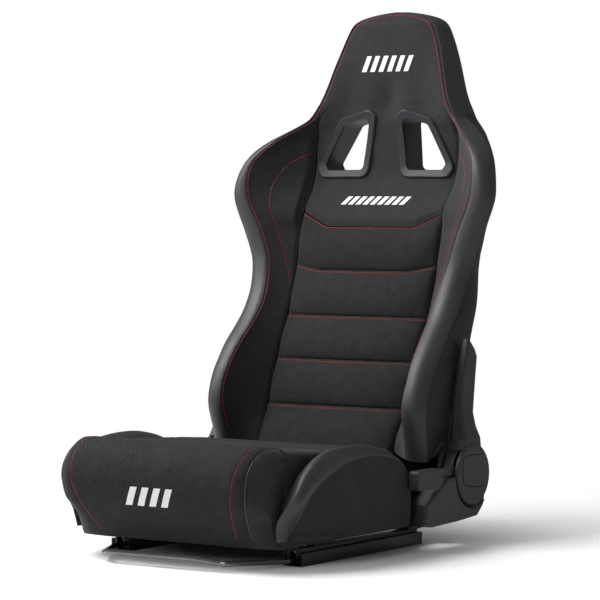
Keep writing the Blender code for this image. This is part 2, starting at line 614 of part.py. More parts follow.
def lower_bracket(name, side):
    """Steel plate that carries the recliner, welded to the end of the cross tube."""
    plate = circle((PIVOT_Y, PIVOT_Z), PLATE_RADIUS, 15, -62, 250)
    plate += [(BRACKET_FRONT + 0.034, PIVOT_Z - 0.024), (BRACKET_FRONT, PIVOT_Z - 0.044),
              (BRACKET_FRONT, BRACKET_BOTTOM), (PIVOT_Y + 0.012, BRACKET_BOTTOM)]
    low = ARM_INNER + ARM_STEEL + CORE_DEPTH + 3 * SEAM_GAP
    obj = extruded(name, plate, side * low, side * (low + BRACKET_STEEL))
    return combine(obj, [shaft_hole(side)])


def shaft_hole(side):
    return rod_solid("shaft_hole", (side * 0.2, PIVOT_Y, PIVOT_Z), (side * 0.3, PIVOT_Y, PIVOT_Z),
                     SHAFT_DIAMETER + 0.0008)


def recliner_disc(name, side, start, depth, radius):
    disc = rod_solid(name, (side * start, PIVOT_Y, PIVOT_Z), (side * (start + depth), PIVOT_Y, PIVOT_Z),
                     radius * 2, 24)
    return combine(disc, [shaft_hole(side)])


def upper_arm(name, side):
    """Steel side arm of the backrest, from the pivot up past the frame's two rods."""
    plate = circle((PIVOT_Y, PIVOT_Z), PLATE_RADIUS, 13, 20, -220)
    plate += [(0.405, 0.190), (0.418, 0.245), (0.433, 0.305), (0.447, 0.350), (0.455, 0.358),
              (0.478, 0.336), (0.477, 0.290), (0.467, 0.250), (0.459, 0.210)]
    obj = extruded(name, plate, side * ARM_INNER, side * (ARM_INNER + ARM_STEEL))
    return combine(obj, [shaft_hole(side)])


def bevelled_prism(name, outline, side, low, high, bevel):
    """Prism along X whose outer face is drawn in by a bevel."""
    small = inset(outline, bevel)
    rings = [[(side * low, y, z) for y, z in outline], [(side * (high - bevel), y, z) for y, z in outline],
             [(side * high, y, z) for y, z in small]]
    return loft(name, rings)


def arm_sections(draw, low_end, top_draw):
    """Sections up the arm's cover, each as front (y, z), rear (y, z) and half width, drawn in by a wall."""
    sections = []
    for (front_y, front_z), (rear_y, rear_z), face in ARM_COVER:
        sections.append(((front_y + draw, front_z), (rear_y - draw, rear_z), face - draw))
    (front_y, front_z), (rear_y, rear_z), face = sections[0]
    sections[0] = ((front_y, front_z - low_end), (rear_y, rear_z - low_end), face)
    (front_y, front_z), (rear_y, rear_z), face = sections[-1]
    sections[-1] = ((front_y, front_z - top_draw), (rear_y, rear_z - top_draw), face)
    return sections


def arm_shell(name, side, inner, sections, bevel):
    rings = []
    for (front_y, front_z), (rear_y, rear_z), face in sections:
        slope = (rear_z - front_z) / (rear_y - front_y)
        places = [(inner, front_y), (face - bevel, front_y), (face, front_y + bevel), (face, rear_y - bevel),
                  (face - bevel, rear_y), (inner, rear_y)]
        rings.append([(side * x, y, front_z + (y - front_y) * slope) for x, y in places])
    return loft(name, rings)


def lever_start():
    """Half width at the lever's inner face, outside the bracket."""
    return ARM_INNER + ARM_STEEL + CORE_DEPTH + BRACKET_STEEL + 5 * SEAM_GAP


def drum_wall(side, low, high, start, end):
    """Part of the round wall behind the cap."""
    centre = (PIVOT_Y, PIVOT_Z)
    count = max(4, round((end - start) / 12))
    outline = circle(centre, DISC_RADIUS, count, start, end - start)
    outline += circle(centre, DISC_RADIUS - COVER_WALL, count, end, start - end)
    return extruded("wall", outline, side * low, side * high)


def arm_cover(name, side):
    """Moulded cover over the arm, with the round cap that turns over the recliner."""
    inner = ARM_INNER + ARM_STEEL + SEAM_GAP
    cap_inner = COVER_FACE - DISC_CAP_DEPTH
    cover = arm_shell(name, side, inner, arm_sections(0, 0, 0), COVER_BEVEL)
    cap = bevelled_prism("cap", circle((PIVOT_Y, PIVOT_Z), DISC_RADIUS, 28), side, cap_inner, COVER_FACE,
                         COVER_BEVEL / 2)
    lever_inner = lever_start() - DRUM_LEVER_GAP
    walls = [drum_wall(side, inner, cap_inner + COVER_BEVEL / 2, *DRUM_TURN),
             drum_wall(side, inner, lever_inner, *DRUM_LOW_TURN)]
    combine(cover, [cap, *walls], "UNION")
    hollow = arm_shell("hollow", side, inner - 0.001, arm_sections(COVER_WALL, 0.01, COVER_WALL * 1.5),
                       COVER_BEVEL / 2)
    cap_hollow = extruded("cap_hollow", circle((PIVOT_Y, PIVOT_Z), DISC_RADIUS - COVER_WALL, 28),
                          side * (cap_inner - 0.001), side * (COVER_FACE - COVER_WALL))
    return combine(cover, [hollow, cap_hollow])


def lower_cover(name, side):
    """Fixed cover that cups the turning cap from below and hides the bracket."""
    cup = circle((PIVOT_Y, PIVOT_Z), DISC_RADIUS + DISC_GAP, 13, -40, -140)
    outline = [(0.472, 0.068), *cup, (0.350, PIVOT_Z), (0.328, 0.114), (0.296, 0.097),
               (0.276, 0.084), (0.266, 0.047), (0.300, 0.043), (0.389, 0.046), (0.452, 0.050)]
    inner = ARM_INNER
    outer = COVER_FACE - 0.001
    cover = bevelled_prism(name, outline, side, inner, outer, COVER_BEVEL)
    hollow = extruded("hollow", inset(outline, COVER_WALL), side * (inner - 0.001),
                      side * (outer - COVER_WALL))
    free = lever_start() + LEVER_STEEL + 0.001
    opening = rod_solid("opening", (side * (inner - 0.01), PIVOT_Y, PIVOT_Z), (side * free, PIVOT_Y, PIVOT_Z),
                        2 * (DISC_RADIUS + DISC_GAP + COVER_WALL + 0.001), 28)
    return combine(cover, [hollow, opening])


def recline_lever(name):
    """Strip on the end of the cross shaft, with a block handle ahead of the recliner."""
    low = lever_start()
    eye = circle((PIVOT_Y, PIVOT_Z), LEVER_EYE, 12, -90, 180)
    top, bottom = PIVOT_Z + 0.017, PIVOT_Z + 0.003
    strip = [*eye, (PIVOT_Y - 0.05, top), (PIVOT_Y - LEVER_REACH + 0.030, top),
             (PIVOT_Y - LEVER_REACH + 0.030, bottom), (PIVOT_Y - 0.05, bottom)]
    lever = extruded(name, strip, low, low + LEVER_STEEL)
    front = PIVOT_Y - LEVER_REACH
    rear = front + LEVER_HANDLE_LENGTH
    middle = PIVOT_Z + 0.004
    half = LEVER_HANDLE_HEIGHT / 2
    side_view = rounded([(front, middle - half), (rear, middle - half), (rear, middle + half),
                         (front, middle + half)], 0.004, 2)
    bevel = LEVER_HANDLE_BEVEL
    depths = [(LEVER_HANDLE_INNER, bevel), (LEVER_HANDLE_INNER + bevel, 0),
              (LEVER_HANDLE_OUTER - bevel, 0), (LEVER_HANDLE_OUTER, bevel)]
    handle = loft("handle", [[(x, y, z) for y, z in inset(side_view, draw)] for x, draw in depths])
    return combine(lever, [handle], "UNION")


# ---- cushion ---------------------------------------------------------------------------------
def front_roll(name):
    rings = []
    behind = ROLL_OUTLINE[0][0]
    for x, draw in mirrored(ROLL_ENDS[::-1]) + [(0, 0)] + ROLL_ENDS:
        ring = []
        for y, z in ROLL_OUTLINE:
            drop = 0
            if z < ROLL_LOW:
                y = y if y == behind else ROLL_LIP + (y - ROLL_LIP) * (1 - draw * ROLL_LIP_DRAW)
            elif y != behind:
                y = min(y + draw, behind - 0.002)
                drop = draw * 0.3 if z > ROLL_HIGH else 0
            ring.append((x * ROLL_HALF_WIDTH, y, z - drop))
        rings.append(ring)
    return loft(name, rings)


def seat_pad(name):
    front = ROLL_OUTLINE[0][0] + SEAM_GAP
    tops = [(max(y, front), z) for y, z in PAD_TOP]
    outline = tops + [(PAD_REAR, 0.125), (PAD_REAR, 0.062), (PAD_REAR - 0.004, CUSHION_BOTTOM),
                      (front, CUSHION_BOTTOM)]
    pad = extruded(name, outline, -ROLL_HALF_WIDTH, ROLL_HALF_WIDTH)
    cuts = []
    for side in (-1, 1):
        low, high = sorted((side * PAD_REAR_HALF_WIDTH, side * (ROLL_HALF_WIDTH + 0.01)))
        cuts.append(box("notch", (low, PAD_NOTCH, 0), (high, PAD_REAR + 0.01, 0.3)))
    return combine(pad, cuts)


def bolster(name, side):
    """Side bolster of the cushion: high in its middle, its tip turned down in front."""
    def ring(x, share, drop):
        points = []
        tucks = BOLSTER_TUCK + (1,) * (len(BOLSTER_CREST) - len(BOLSTER_TUCK))
        for crest, seam, tuck in zip(BOLSTER_CREST, BOLSTER_SEAM, tucks):
            y = crest[0] + (seam[0] - crest[0]) * share
            z = crest[1] + (seam[1] - crest[1]) * share - drop
            points.append((side * (inner + (x - inner) * tuck), y, max(z, CUSHION_BOTTOM + 0.002)))
        return points + [(point[0], point[1], CUSHION_BOTTOM) for point in reversed(points)]
    inner = ROLL_HALF_WIDTH + SEAM_GAP
    return loft(name, [ring(inner, 0.5, 0.004), ring(inner + 0.012, 0.15, 0), ring(BOLSTER_CREST_WIDTH, 0, 0),
                       ring(BOLSTER_CREST_WIDTH + 0.011, 0.35, 0), ring(BOLSTER_OUTER, 1, 0)], strips=True)


# ---- backrest --------------------------------------------------------------------------------
STATIONS = [BACK_BOTTOM, 0.200, 0.240, 0.285, 0.330, 0.375, 0.420, 0.460, 0.500, 0.530, 0.560, 0.595,
            0.630, 0.660, 0.690, 0.712, 0.735, 0.768, HEAD_BOTTOM - SEAM_GAP]


def head_height(share):
    return HEAD_BOTTOM + (SEAT_HEIGHT - HEAD_BOTTOM) * share


def faceted(curve, z):
    """A curve as the solids have it: straight between the stations."""
    stations = STATIONS + [head_height(share) for share in (0, 0.201, 0.408, 0.615, 0.816, 1)]
    if z <= stations[0]:
        return smooth(curve, stations[0])
    for low, high in zip(stations, stations[1:]):
        if z <= high:
            share = (z - low) / (high - low)
            return smooth(curve, low) * (1 - share) + smooth(curve, high) * share
    return smooth(curve, stations[-1])


def foam_back(z):
    return faceted(REAR_LINE, z) - REAR_SHEET - FRAME_SPACE


def back_foam(name):
    rings = []
    for z in [FOAM_BOTTOM] + STATIONS:
        edge = smooth(INSERT_EDGE, z) - SEAM_GAP
        front, rear = smooth(CENTRE_LINE, z), foam_back(z)
        if z == FOAM_BOTTOM:
            front, rear = FOAM_BOTTOM_FRONT, FOAM_BOTTOM_REAR
        across = [-edge, -edge / 2, 0, edge / 2, edge]
        rings.append([(x, front, z) for x in across] + [(edge, rear, z), (-edge, rear, z)])
    foam = loft(name, rings)
    return combine(foam, [slot_cutter(side) for side in (-1, 1)])


def slot_outline(distance, side):
    shape = rounded(inset(SLOT_CORNERS, distance), max(SLOT_ROUNDING - distance * 0.5, 0.004), 3)
    points = []
    for here, ahead in zip(shape, shape[1:] + shape[:1]):
        pieces = 3 if math.dist(here, ahead) > SLOT_LONG_EDGE else 1
        points += [(here[0] + (ahead[0] - here[0]) * k / pieces, here[1] + (ahead[1] - here[1]) * k / pieces)
                   for k in range(pieces)]
    return [(side * x, z) for x, z in points]


def slot_cutter(side):
    outline = slot_outline(SLOT_RIM - BEZEL_SLEEVE - SEAM_GAP, side)
    return extruded("slot", outline, 0.5, 0.72, "Y")


def wing(name, side):
    """Side bolster of the back, an L in plan round the frame's space."""
    rings = []
    for z in STATIONS:
        edge = smooth(INSERT_EDGE, z)
        front, rear, inner = smooth(CENTRE_LINE, z), smooth(REAR_LINE, z), smooth(PANEL_WIDTH, z) + SEAM_GAP
        seam = Vector((smooth(SEAM_WIDTH, z), smooth(SEAM_DEPTH, z)))
        ridge = Vector((smooth(RIDGE_WIDTH, z), smooth(RIDGE_DEPTH, z)))
        flank = Vector((smooth(FLANK_WIDTH, z), smooth(FLANK_DEPTH, z)))
        crest = (seam + ridge) / 2 + Vector((0.1, -1)).normalized() * (ridge - seam).length * 0.18
        waist = (Vector((edge, front)) + seam) / 2 + Vector((0.6, 1)) * smooth(WING_HOLLOW, z)
        shape = [(edge, front), waist, seam, crest, ridge, (ridge + flank) / 2 + Vector((0.003, 0)), flank,
                 (max(smooth(REAR_CORNER, z), inner + 0.003), rear), (inner, rear), (inner, foam_back(z)),
                 (edge, foam_back(z))]
        if z == BACK_BOTTOM:
            low = [WING_TIP + (point[1] - seam.y) * WING_END_RISE for point in shape]
            rings.append([(side * point[0], point[1], end) for point, end in zip(shape, low)])
        else:
            rings.append([(side * point[0], point[1], z) for point in shape])
    foam = loft(name, rings)
    bores = [rod_solid("bore", (side * 0.15, *rod_place(z)), (side * 0.30, *rod_place(z)),
                       ROD_DIAMETER + 2 * ROD_BORE_CLEARANCE, 10) for z in ROD_HEIGHTS[:2]]
    return combine(foam, bores)


def rod_place(z):
    """Depth and height of a frame rod, in the middle of the frame's space."""
    return foam_back(z) + FRAME_SPACE / 2, z


def headrest(name):
    rings = []
    for share in (0, 0.201, 0.408, 0.615, 0.747, HEAD_ROUNDING, 0.931, 0.977, 1):
        z = head_height(share)
        half = smooth(HEAD_WIDTH, share) if share < 1 else HEAD_WIDTH[-1][1] * 0.7
        front, rear = smooth(CENTRE_LINE, z), smooth(REAR_LINE, z)
        draw = 0.016 if share == 1 else max(0.0, (share - HEAD_ROUNDING) / (1 - HEAD_ROUNDING)) * 0.010
        front, rear = front + draw, rear - draw
        middle = (front + rear) / 2
        right = [(half * 0.5, front), (half - 0.010, front + 0.001), (half, front + 0.005),
                 (half + HEAD_BULGE, middle - 0.006), (half + HEAD_BULGE * 0.8, rear - 0.012),
                 (half - 0.004, rear - 0.002), (half * 0.5, rear)]
        ring = [(0, front)] + right + [(0, rear)] + [(-x, y) for x, y in reversed(right)]
        rings.append([(x, y, z) for x, y in ring])
    foam = loft(name, rings)
    cutter = []
    for share in (-0.06, 0, 0.201, 0.408, POCKET_SHARE):
        z = head_height(share)
        half = smooth(PANEL_WIDTH, z) + SEAM_GAP
        cutter.append([(-half, foam_back(z), z), (half, foam_back(z), z), (half, 0.75, z), (-half, 0.75, z)])
    return combine(foam, [loft("pocket", cutter)])


def rear_panel(name):
    rings = []
    head = [head_height(0.201), head_height(0.408), head_height(POCKET_SHARE) - SEAM_GAP]
    places = PANEL_SKIRT + [(z, faceted(REAR_LINE, z), smooth(PANEL_WIDTH, z)) for z in STATIONS + head]
    for z, rear, half in places:
        rings.append([(x, rear - REAR_SHEET, z) for x in (-half, 0, half)]
                     + [(x, rear, z) for x in (half, 0, -half)])
    panel = loft(name, rings)
    return combine(panel, [slot_cutter(side) for side in (-1, 1)])


def ring_solid(name, loops):
    """Closed ring through loops of equal count, the last joined to the first."""
    bm = bmesh.new()
    rows = [[bm.verts.new(point) for point in loop] for loop in loops]
    count = len(rows[0])
    for k, low in enumerate(rows):
        high = rows[(k + 1) % len(rows)]
        for i in range(count):
            j = (i + 1) % count
            bm.faces.new((low[i], low[j], high[j], high[i]))
    return mesh_object(name, bm)


def front_bezel(name, side):
    """Rim on the cover with a sleeve through the foam to the rear panel."""
    def loop(distance, depth):
        return [(x, depth(z), z) for x, z in slot_outline(distance, side)]
    def front(z):
        return faceted(CENTRE_LINE, z) - RIM_GAP
    def rear(z):
        return faceted(REAR_LINE, z)
    inner = SLOT_RIM - BEZEL_SLEEVE
    return ring_solid(name, [loop(0, front), loop(0.001, lambda z: front(z) - BEZEL_RAISE * 0.7),
                             loop(0.003, lambda z: front(z) - BEZEL_RAISE),
                             loop(SLOT_RIM - 0.001, lambda z: front(z) - BEZEL_RAISE * 0.8),
                             loop(SLOT_RIM, front), loop(SLOT_RIM, rear), loop(inner, rear),
                             loop(inner, front)])


def rear_bezel(name, side):
    def loop(distance, out):
        return [(x, faceted(REAR_LINE, z) + RIM_GAP + out, z) for x, z in slot_outline(distance, side)]
    return ring_solid(name, [loop(0, 0), loop(0.0015, BEZEL_RAISE), loop(SLOT_RIM, BEZEL_RAISE),
                             loop(SLOT_RIM, 0)])


def frame_hoop(name):
    """Bent tube up both sides of the back and over inside the headrest."""
    side_route = []
    for z in [0.185] + STATIONS[1:]:
        side_route.append((smooth(HOOP_WIDTH, z), foam_back(z) + FRAME_SPACE / 2, z))
    top_half, top_low = HOOP_WIDTH[-1][1], HOOP_WIDTH[-1][0]
    rise = head_height(POCKET_SHARE) - HOOP_TOP_GAP - HOOP_DIAMETER / 2 - top_low
    arch = []
    for angle in steps(15, 165, 11):
        z = top_low + rise * math.sin(math.radians(angle))
        arch.append((top_half * math.cos(math.radians(angle)), foam_back(z) + FRAME_SPACE / 2, z))
    obj = convert(tube(name, side_route + arch + mirrored(side_route)[::-1], HOOP_DIAMETER))
    bores = [rod_solid("bore", (-0.3, *rod_place(z)), (0.3, *rod_place(z)), ROD_DIAMETER + 2 * SEAM_GAP)
             for z in ROD_HEIGHTS]
    return combine(obj, bores)


def frame_rod(name, z, half):
    return rod_solid(name, (-half, *rod_place(z)), (half, *rod_place(z)), ROD_DIAMETER)


def back_spring(name, side):
    """Zigzag spring wire behind the foam, its ends on the lowest and the highest rod."""
    low, high = ROD_HEIGHTS[0], ROD_HEIGHTS[2]
    lean = (smooth(REAR_LINE, high) - smooth(REAR_LINE, low)) / (high - low)
    out = FRAME_SPACE / 2 - (ROD_DIAMETER + SPRING_WIRE) / 2 * math.hypot(1, lean) - SEAM_GAP
    count = round((high - low) / SPRING_PITCH)
    pitch = (high - low) / count
    route = [(side * SPRING_PLACE, low)]
    for i in range(count):
        swing = side * SPRING_PLACE + SPRING_SWING * (1 if i % 2 else -1)
        z = low + (i + 0.5) * pitch
        route += [(swing, z - pitch * 0.3), (swing, z + pitch * 0.3)]
    route.append((side * SPRING_PLACE, high))
    return convert(tube(name, [(x, foam_back(z) + out, z) for x, z in route], SPRING_WIRE, 6))


# ---- assembly --------------------------------------------------------------------------------
for old in list(bpy.data.objects):
    bpy.data.objects.remove(old)

cloth = paint("woven_cloth", (0.012, 0.012, 0.013), 0.85)
mesh_cloth = paint("spacer_mesh", (0.009, 0.009, 0.010), 0.8)
leather = paint("coated_leather", (0.016, 0.016, 0.017), 0.5)
plastic = paint("moulded_plastic", (0.035, 0.036, 0.038), 0.55)
rail_paint = paint("rail_paint", (0.010, 0.010, 0.011), 0.4)
frame_paint = paint("frame_paint", (0.02, 0.02, 0.022), 0.5)
zinc = paint("zinc_plate", (0.55, 0.56, 0.57), 0.3, 1.0)
bar_chrome = paint("bar_chrome", (0.25, 0.25, 0.26), 0.12, 1.0)
steel = paint("bearing_steel", (0.6, 0.6, 0.6), 0.25, 1.0)

floor_rails = empty("floor_rails", (0, 0, 0))
ball_cages = empty("ball_cages", (0, RAIL_MIDDLE, 0), floor_rails)
seat_base = empty("seat_base", (0, 0, SLIDE_HEIGHT), floor_rails)
release = empty("release_bar_axis", (0, BAR_PIVOT_Y, BAR_PIVOT_Z), seat_base)
backrest = empty("backrest_axis", (0, PIVOT_Y, PIVOT_Z), seat_base)
lever_axis = empty("recline_lever_axis", (0, PIVOT_Y, PIVOT_Z), seat_base)

for word, side in SIDES:
    rail_x = side * RAIL_SPACING / 2
    place(lower_rail(f"lower_rail_{word}", rail_x), rail_paint, floor_rails)
    place(ball_cage(f"ball_cage_{word}", rail_x), steel, ball_cages)
    place(upper_rail(f"upper_rail_{word}", rail_x), rail_paint, seat_base)
    place(latch_plate(f"latch_plate_{word}", rail_x), zinc, release)
    place(rod_solid(f"bar_pivot_pin_{word}", (rail_x - SLIDE_WEB, BAR_PIVOT_Y, BAR_PIVOT_Z),
                    (rail_x + SLIDE_WEB, BAR_PIVOT_Y, BAR_PIVOT_Z), PIN_DIAMETER, 10), zinc, seat_base)
    for end in ("front", "rear"):
        place(rail_bracket(f"rail_bracket_{end}_{word}", rail_x, end == "front"), frame_paint, seat_base)
    for number, y in enumerate(bolt_places(), 1):
        place(rail_bolt(f"rail_bolt_{word}_{number}", rail_x, y), zinc, seat_base)
    place(lower_bracket(f"recliner_bracket_{word}", side), frame_paint, seat_base)
    core_start = ARM_INNER + ARM_STEEL + SEAM_GAP
    gear_depth = CORE_DEPTH * 0.47
    place(recliner_disc(f"recliner_gear_disc_{word}", side, core_start, gear_depth, CORE_DIAMETER / 2),
          steel, backrest)
    place(recliner_disc(f"recliner_base_disc_{word}", side, core_start + gear_depth + SEAM_GAP,
                        CORE_DEPTH - gear_depth, CORE_DIAMETER / 2 - 0.002), steel, seat_base)
    place(lower_cover(f"lower_cover_{word}", side), plastic, seat_base)
    place(upper_arm(f"upper_arm_{word}", side), frame_paint, backrest)
    place(arm_cover(f"arm_cover_{word}", side), plastic, backrest)
    place(bolster(f"cushion_bolster_{word}", side), leather, seat_base)
    place(wing(f"back_wing_{word}", side), leather, backrest)
    place(front_bezel(f"harness_bezel_{word}", side), plastic, backrest)
    place(rear_bezel(f"harness_rim_rear_{word}", side), plastic, backrest)
    place(back_spring(f"back_spring_{word}", side), steel, backrest)

place(release_bar("release_bar"), bar_chrome, release)
place(seat_pan("seat_pan"), frame_paint, seat_base)
tube_end = ARM_INNER + ARM_STEEL + CORE_DEPTH + 2 * SEAM_GAP
place(rod_solid("cross_tube", (-tube_end, CROSS_TUBE_Y, CROSS_TUBE_Z), (tube_end, CROSS_TUBE_Y, CROSS_TUBE_Z),
                CROSS_TUBE_DIAMETER, 14), frame_paint, seat_base)
place(front_roll("cushion_front_roll"), mesh_cloth, seat_base)
place(seat_pad("cushion_pad"), mesh_cloth, seat_base)
shaft_end = lever_start() - SEAM_GAP
place(rod_solid("recline_shaft", (-shaft_end, PIVOT_Y, PIVOT_Z), (shaft_end, PIVOT_Y, PIVOT_Z),
                SHAFT_DIAMETER), steel, lever_axis)
place(recline_lever("recline_lever"), plastic, lever_axis)
place(back_foam("back_foam"), mesh_cloth, backrest)
place(headrest("headrest_foam"), cloth, backrest)
place(rear_panel("rear_panel"), cloth, backrest)
place(frame_hoop("frame_hoop"), frame_paint, backrest)
rod_halves = (ARM_INNER - SEAM_GAP, ARM_INNER - SEAM_GAP, faceted(HOOP_WIDTH, ROD_HEIGHTS[2]))
for word, z, half in zip(("lower", "middle", "upper"), ROD_HEIGHTS, rod_halves):
    place(frame_rod(f"frame_rod_{word}", z, half), frame_paint, backrest)
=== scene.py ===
import math

import bpy
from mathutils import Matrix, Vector, kdtree, noise


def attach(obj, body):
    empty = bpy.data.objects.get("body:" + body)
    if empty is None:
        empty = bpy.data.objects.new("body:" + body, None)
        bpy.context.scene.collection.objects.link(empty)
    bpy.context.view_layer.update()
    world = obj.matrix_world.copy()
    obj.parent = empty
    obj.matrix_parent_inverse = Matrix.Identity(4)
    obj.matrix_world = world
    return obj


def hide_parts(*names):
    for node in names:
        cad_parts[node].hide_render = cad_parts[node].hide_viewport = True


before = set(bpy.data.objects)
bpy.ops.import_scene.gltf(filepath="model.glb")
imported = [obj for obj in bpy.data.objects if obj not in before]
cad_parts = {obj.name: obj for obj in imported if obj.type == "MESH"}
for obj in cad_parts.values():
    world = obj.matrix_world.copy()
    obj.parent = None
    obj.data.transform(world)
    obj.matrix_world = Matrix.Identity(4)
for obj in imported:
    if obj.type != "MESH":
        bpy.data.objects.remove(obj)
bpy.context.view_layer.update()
depthShift = -0.2494          # the curves below are measured from the rails' front end
sides = ((-1, "Left"), (1, "Right"))

backShape = {                 # (height, depth or half width): smooth lines up the backrest
    "centre": [(.135, .352), (.168, .360), (.241, .396), (.324, .430), (.403, .467), (.487, .501),
            (.570, .528), (.660, .580), (.731, .587), (.786, .587), (.974, .608)],
    "rear": [(.135, .4305), (.168, .440), (.250, .470), (.330, .500), (.420, .541), (.500, .574),
            (.600, .616), (.700, .634), (.780, .644), (.880, .656), (.974, .658)],
    "insertEdge": [(.168, .150), (.300, .155), (.560, .158), (.620, .159), (.650, .161),
            (.700, .161), (.735, .159), (.768, .150), (.800, .122)],
    "edgeBack": [(.168, .012), (.391, .012), (.460, .009), (.500, .005), (.560, 0),
            (.598, -.006), (.640, -.001), (.660, 0), (.800, 0)],
    "seamWidth": [(.168, .196), (.300, .201), (.420, .191), (.500, .201), (.560, .221), (.630, .249),
            (.690, .245), (.730, .212), (.768, .163), (.783, .1525), (.800, .143)],
    "seamDepth": [(.168, .345), (.250, .322), (.330, .358), (.420, .438), (.500, .475),
            (.560, .479), (.630, .475), (.690, .487), (.730, .519), (.768, .563), (.800, .575)],
    "innerWall": [(.168, 0), (.560, 0), (.585, .009), (.610, .015), (.640, .016), (.665, .013),
            (.690, .010), (.720, .008), (.750, .004), (.775, 0), (.800, 0)],
    "ridgeWidth": [(.168, .232), (.250, .240), (.330, .240), (.420, .236), (.500, .246),
            (.560, .265), (.630, .287), (.690, .275), (.730, .241), (.768, .184), (.800, .1475)],
    "ridgeDepth": [(.168, .359), (.250, .341), (.330, .380), (.420, .458), (.500, .494),
            (.630, .492), (.690, .515), (.730, .547), (.768, .590), (.800, .600)],
    "flankWidth": [(.168, .235), (.420, .238), (.500, .232), (.560, .232), (.630, .240),
            (.690, .222), (.730, .203), (.768, .170), (.800, .156)],
    "flankDepth": [(.168, .425), (.330, .482), (.420, .515), (.500, .536), (.560, .556),
            (.630, .580), (.690, .598), (.730, .608), (.768, .616), (.800, .625)],
    "cornerWidth": [(.168, .224), (.420, .222), (.500, .208), (.560, .205), (.630, .213),
            (.690, .200), (.730, .183), (.768, .153), (.800, .143)],
    "panelWidth": [(.168, .200), (.640, .200), (.700, .178), (.735, .164), (.768, .148),
            (.830, .112), (.900, .090), (.945, .070)],
    "headWidth": [(.800, .143), (.817, .136), (.835, .130), (.871, .119), (.907, .107), (.930, .098),
            (.945, .0905), (.955, .082), (.9615, .070), (.9665, .053), (.9705, .034),
            (.9730, .016), (.9740, .006)],
    "headEdge": [(.800, -.013), (.835, -.008), (.871, -.004), (.907, .001), (.974, .005)],
    "bottom": .172, "top": .7999, "headStart": .8,
    "frameSpace": .0285,      # what the tube hoop and the springs take behind the foam
    "panelGap": .0003,        # between the wings or the headrest and the rear panel
}
channelShape = {              # seams across the insert: flat in the middle, rising past the bend
    "bottom": (.135, .100, .135),
    "first": (.240, .100, .240),
    "second": (.323, .100, .323),
    "third": (.403, .100, .403),
    "fourth": (.487, .100, .498),
    "chevron": (.570, .097, .598),
    "top": (.7999, .100, .7999),
    "endWidth": .158,
}
slotShape = {                 # harness slots, (half width, height) of the bezels' outer corners
    "corners": [(.0174, .796), (.0364, .660), (.1658, .659), (.1031, .773)],
    "rim": .0155, "overlap": .0025, "rounding": .018, "cut": (.50, .72),
}


def mix(a, b, t):
    return a + (b - a) * t


def spaced(a, b, count):
    return [mix(a, b, k / (count - 1)) for k in range(count)]


def blendStep(low, high, value):
    t = min(1, max(0, (value - low) / (high - low)))
    return t * t * (3 - 2 * t)


def eased(k, count):          # steps from 0 to 1, closer together at both ends
    return .5 - .5 * math.cos(math.pi * k / count)


def towardsEdges(k, count, power):   # places from -1 to 1, closer together at the edges
    u = 2 * k / (count - 1) - 1
    return math.copysign(1 - (1 - abs(u))**power, u)


def falloff(distance, width):
    return math.exp(-(distance / width)**2)


def lineAt(points, where):    # smooth line through points, flat past its ends
    if where <= points[0][0]:
        return points[0][1]
    if where >= points[-1][0]:
        return points[-1][1]
    index = max(i for i in range(len(points) - 1) if points[i][0] <= where)
    slopes = []
    for i in (index, index + 1):
        before, after = points[max(i - 1, 0)], points[min(i + 1, len(points) - 1)]
        slopes.append((after[1] - before[1]) / (after[0] - before[0]))
    (x0, y0), (x1, y1) = points[index], points[index + 1]
    span = x1 - x0
    t = (where - x0) / span
    return (y0 * (2 * t**3 - 3 * t**2 + 1) + y1 * (3 * t**2 - 2 * t**3)
            + span * slopes[0] * (t**3 - 2 * t**2 + t) + span * slopes[1] * (t**3 - t**2))


def back(name, z):
    return lineAt(backShape[name], z)


def throughPoints(points, t):  # place on a smooth curve through points of any dimension, t from 0 to 1
    spans = len(points) - 1
    index = min(int(t * spans), spans - 1)
    u = t * spans - index
    p0, p1 = points[max(index - 1, 0)], points[index]
    p2, p3 = points[index + 1], points[min(index + 2, spans)]
    return tuple(.5 * (2 * b + (c - a) * u + (2 * a - 5 * b + 4 * c - d) * u**2
                       + (3 * b - a - 3 * c + d) * u**3) for a, b, c, d in zip(p0, p1, p2, p3))


def curvePlaces(points, count, start=0):
    return [throughPoints(points, t) for t in spaced(start, 1, count)]


def srgb(code):               # hex colour to linear
    parts = [int(code[i:i + 2], 16) / 255 for i in (1, 3, 5)]
    return [p / 12.92 if p <= .04045 else ((p + .055) / 1.055)**2.4 for p in parts] + [1]


def addNode(tree, kind, settings=None, links=None):
    node = tree.nodes.new(kind)
    for key, value in (settings or {}).items():
        if isinstance(key, int) or key in node.inputs:
            node.inputs[key].default_value = value
        else:
            setattr(node, key, value)
    for key, source in (links or {}).items():     # a node given alone means its first output
        tree.links.new(getattr(source, "outputs", [source])[0], node.inputs[key])
    return node


def newMaterial(name, colour, roughness, **sockets):
    material = bpy.data.materials.new(name)
    material.use_nodes = True
    shader = material.node_tree.nodes["Principled BSDF"]
    shader.inputs["Base Color"].default_value = srgb(colour)
    shader.inputs["Roughness"].default_value = roughness
    for key, value in sockets.items():
        shader.inputs[key.replace("_", " ")].default_value = value
    return material, material.node_tree, shader


def texture(tree, shader, height, strength, depth, share, colour, lighter):
    # relief from the height, and the two colours mixed by the share
    bump = addNode(tree, "ShaderNodeBump", {"Strength": strength, "Distance": depth}, {"Height": height})
    tree.links.new(bump.outputs["Normal"], shader.inputs["Normal"])
    if lighter:
        shade = addNode(tree, "ShaderNodeMix", {"data_type": "RGBA", 6: srgb(colour), 7: srgb(lighter)},
                        {"Factor": share})
        tree.links.new(shade.outputs[2], shader.inputs["Base Color"])


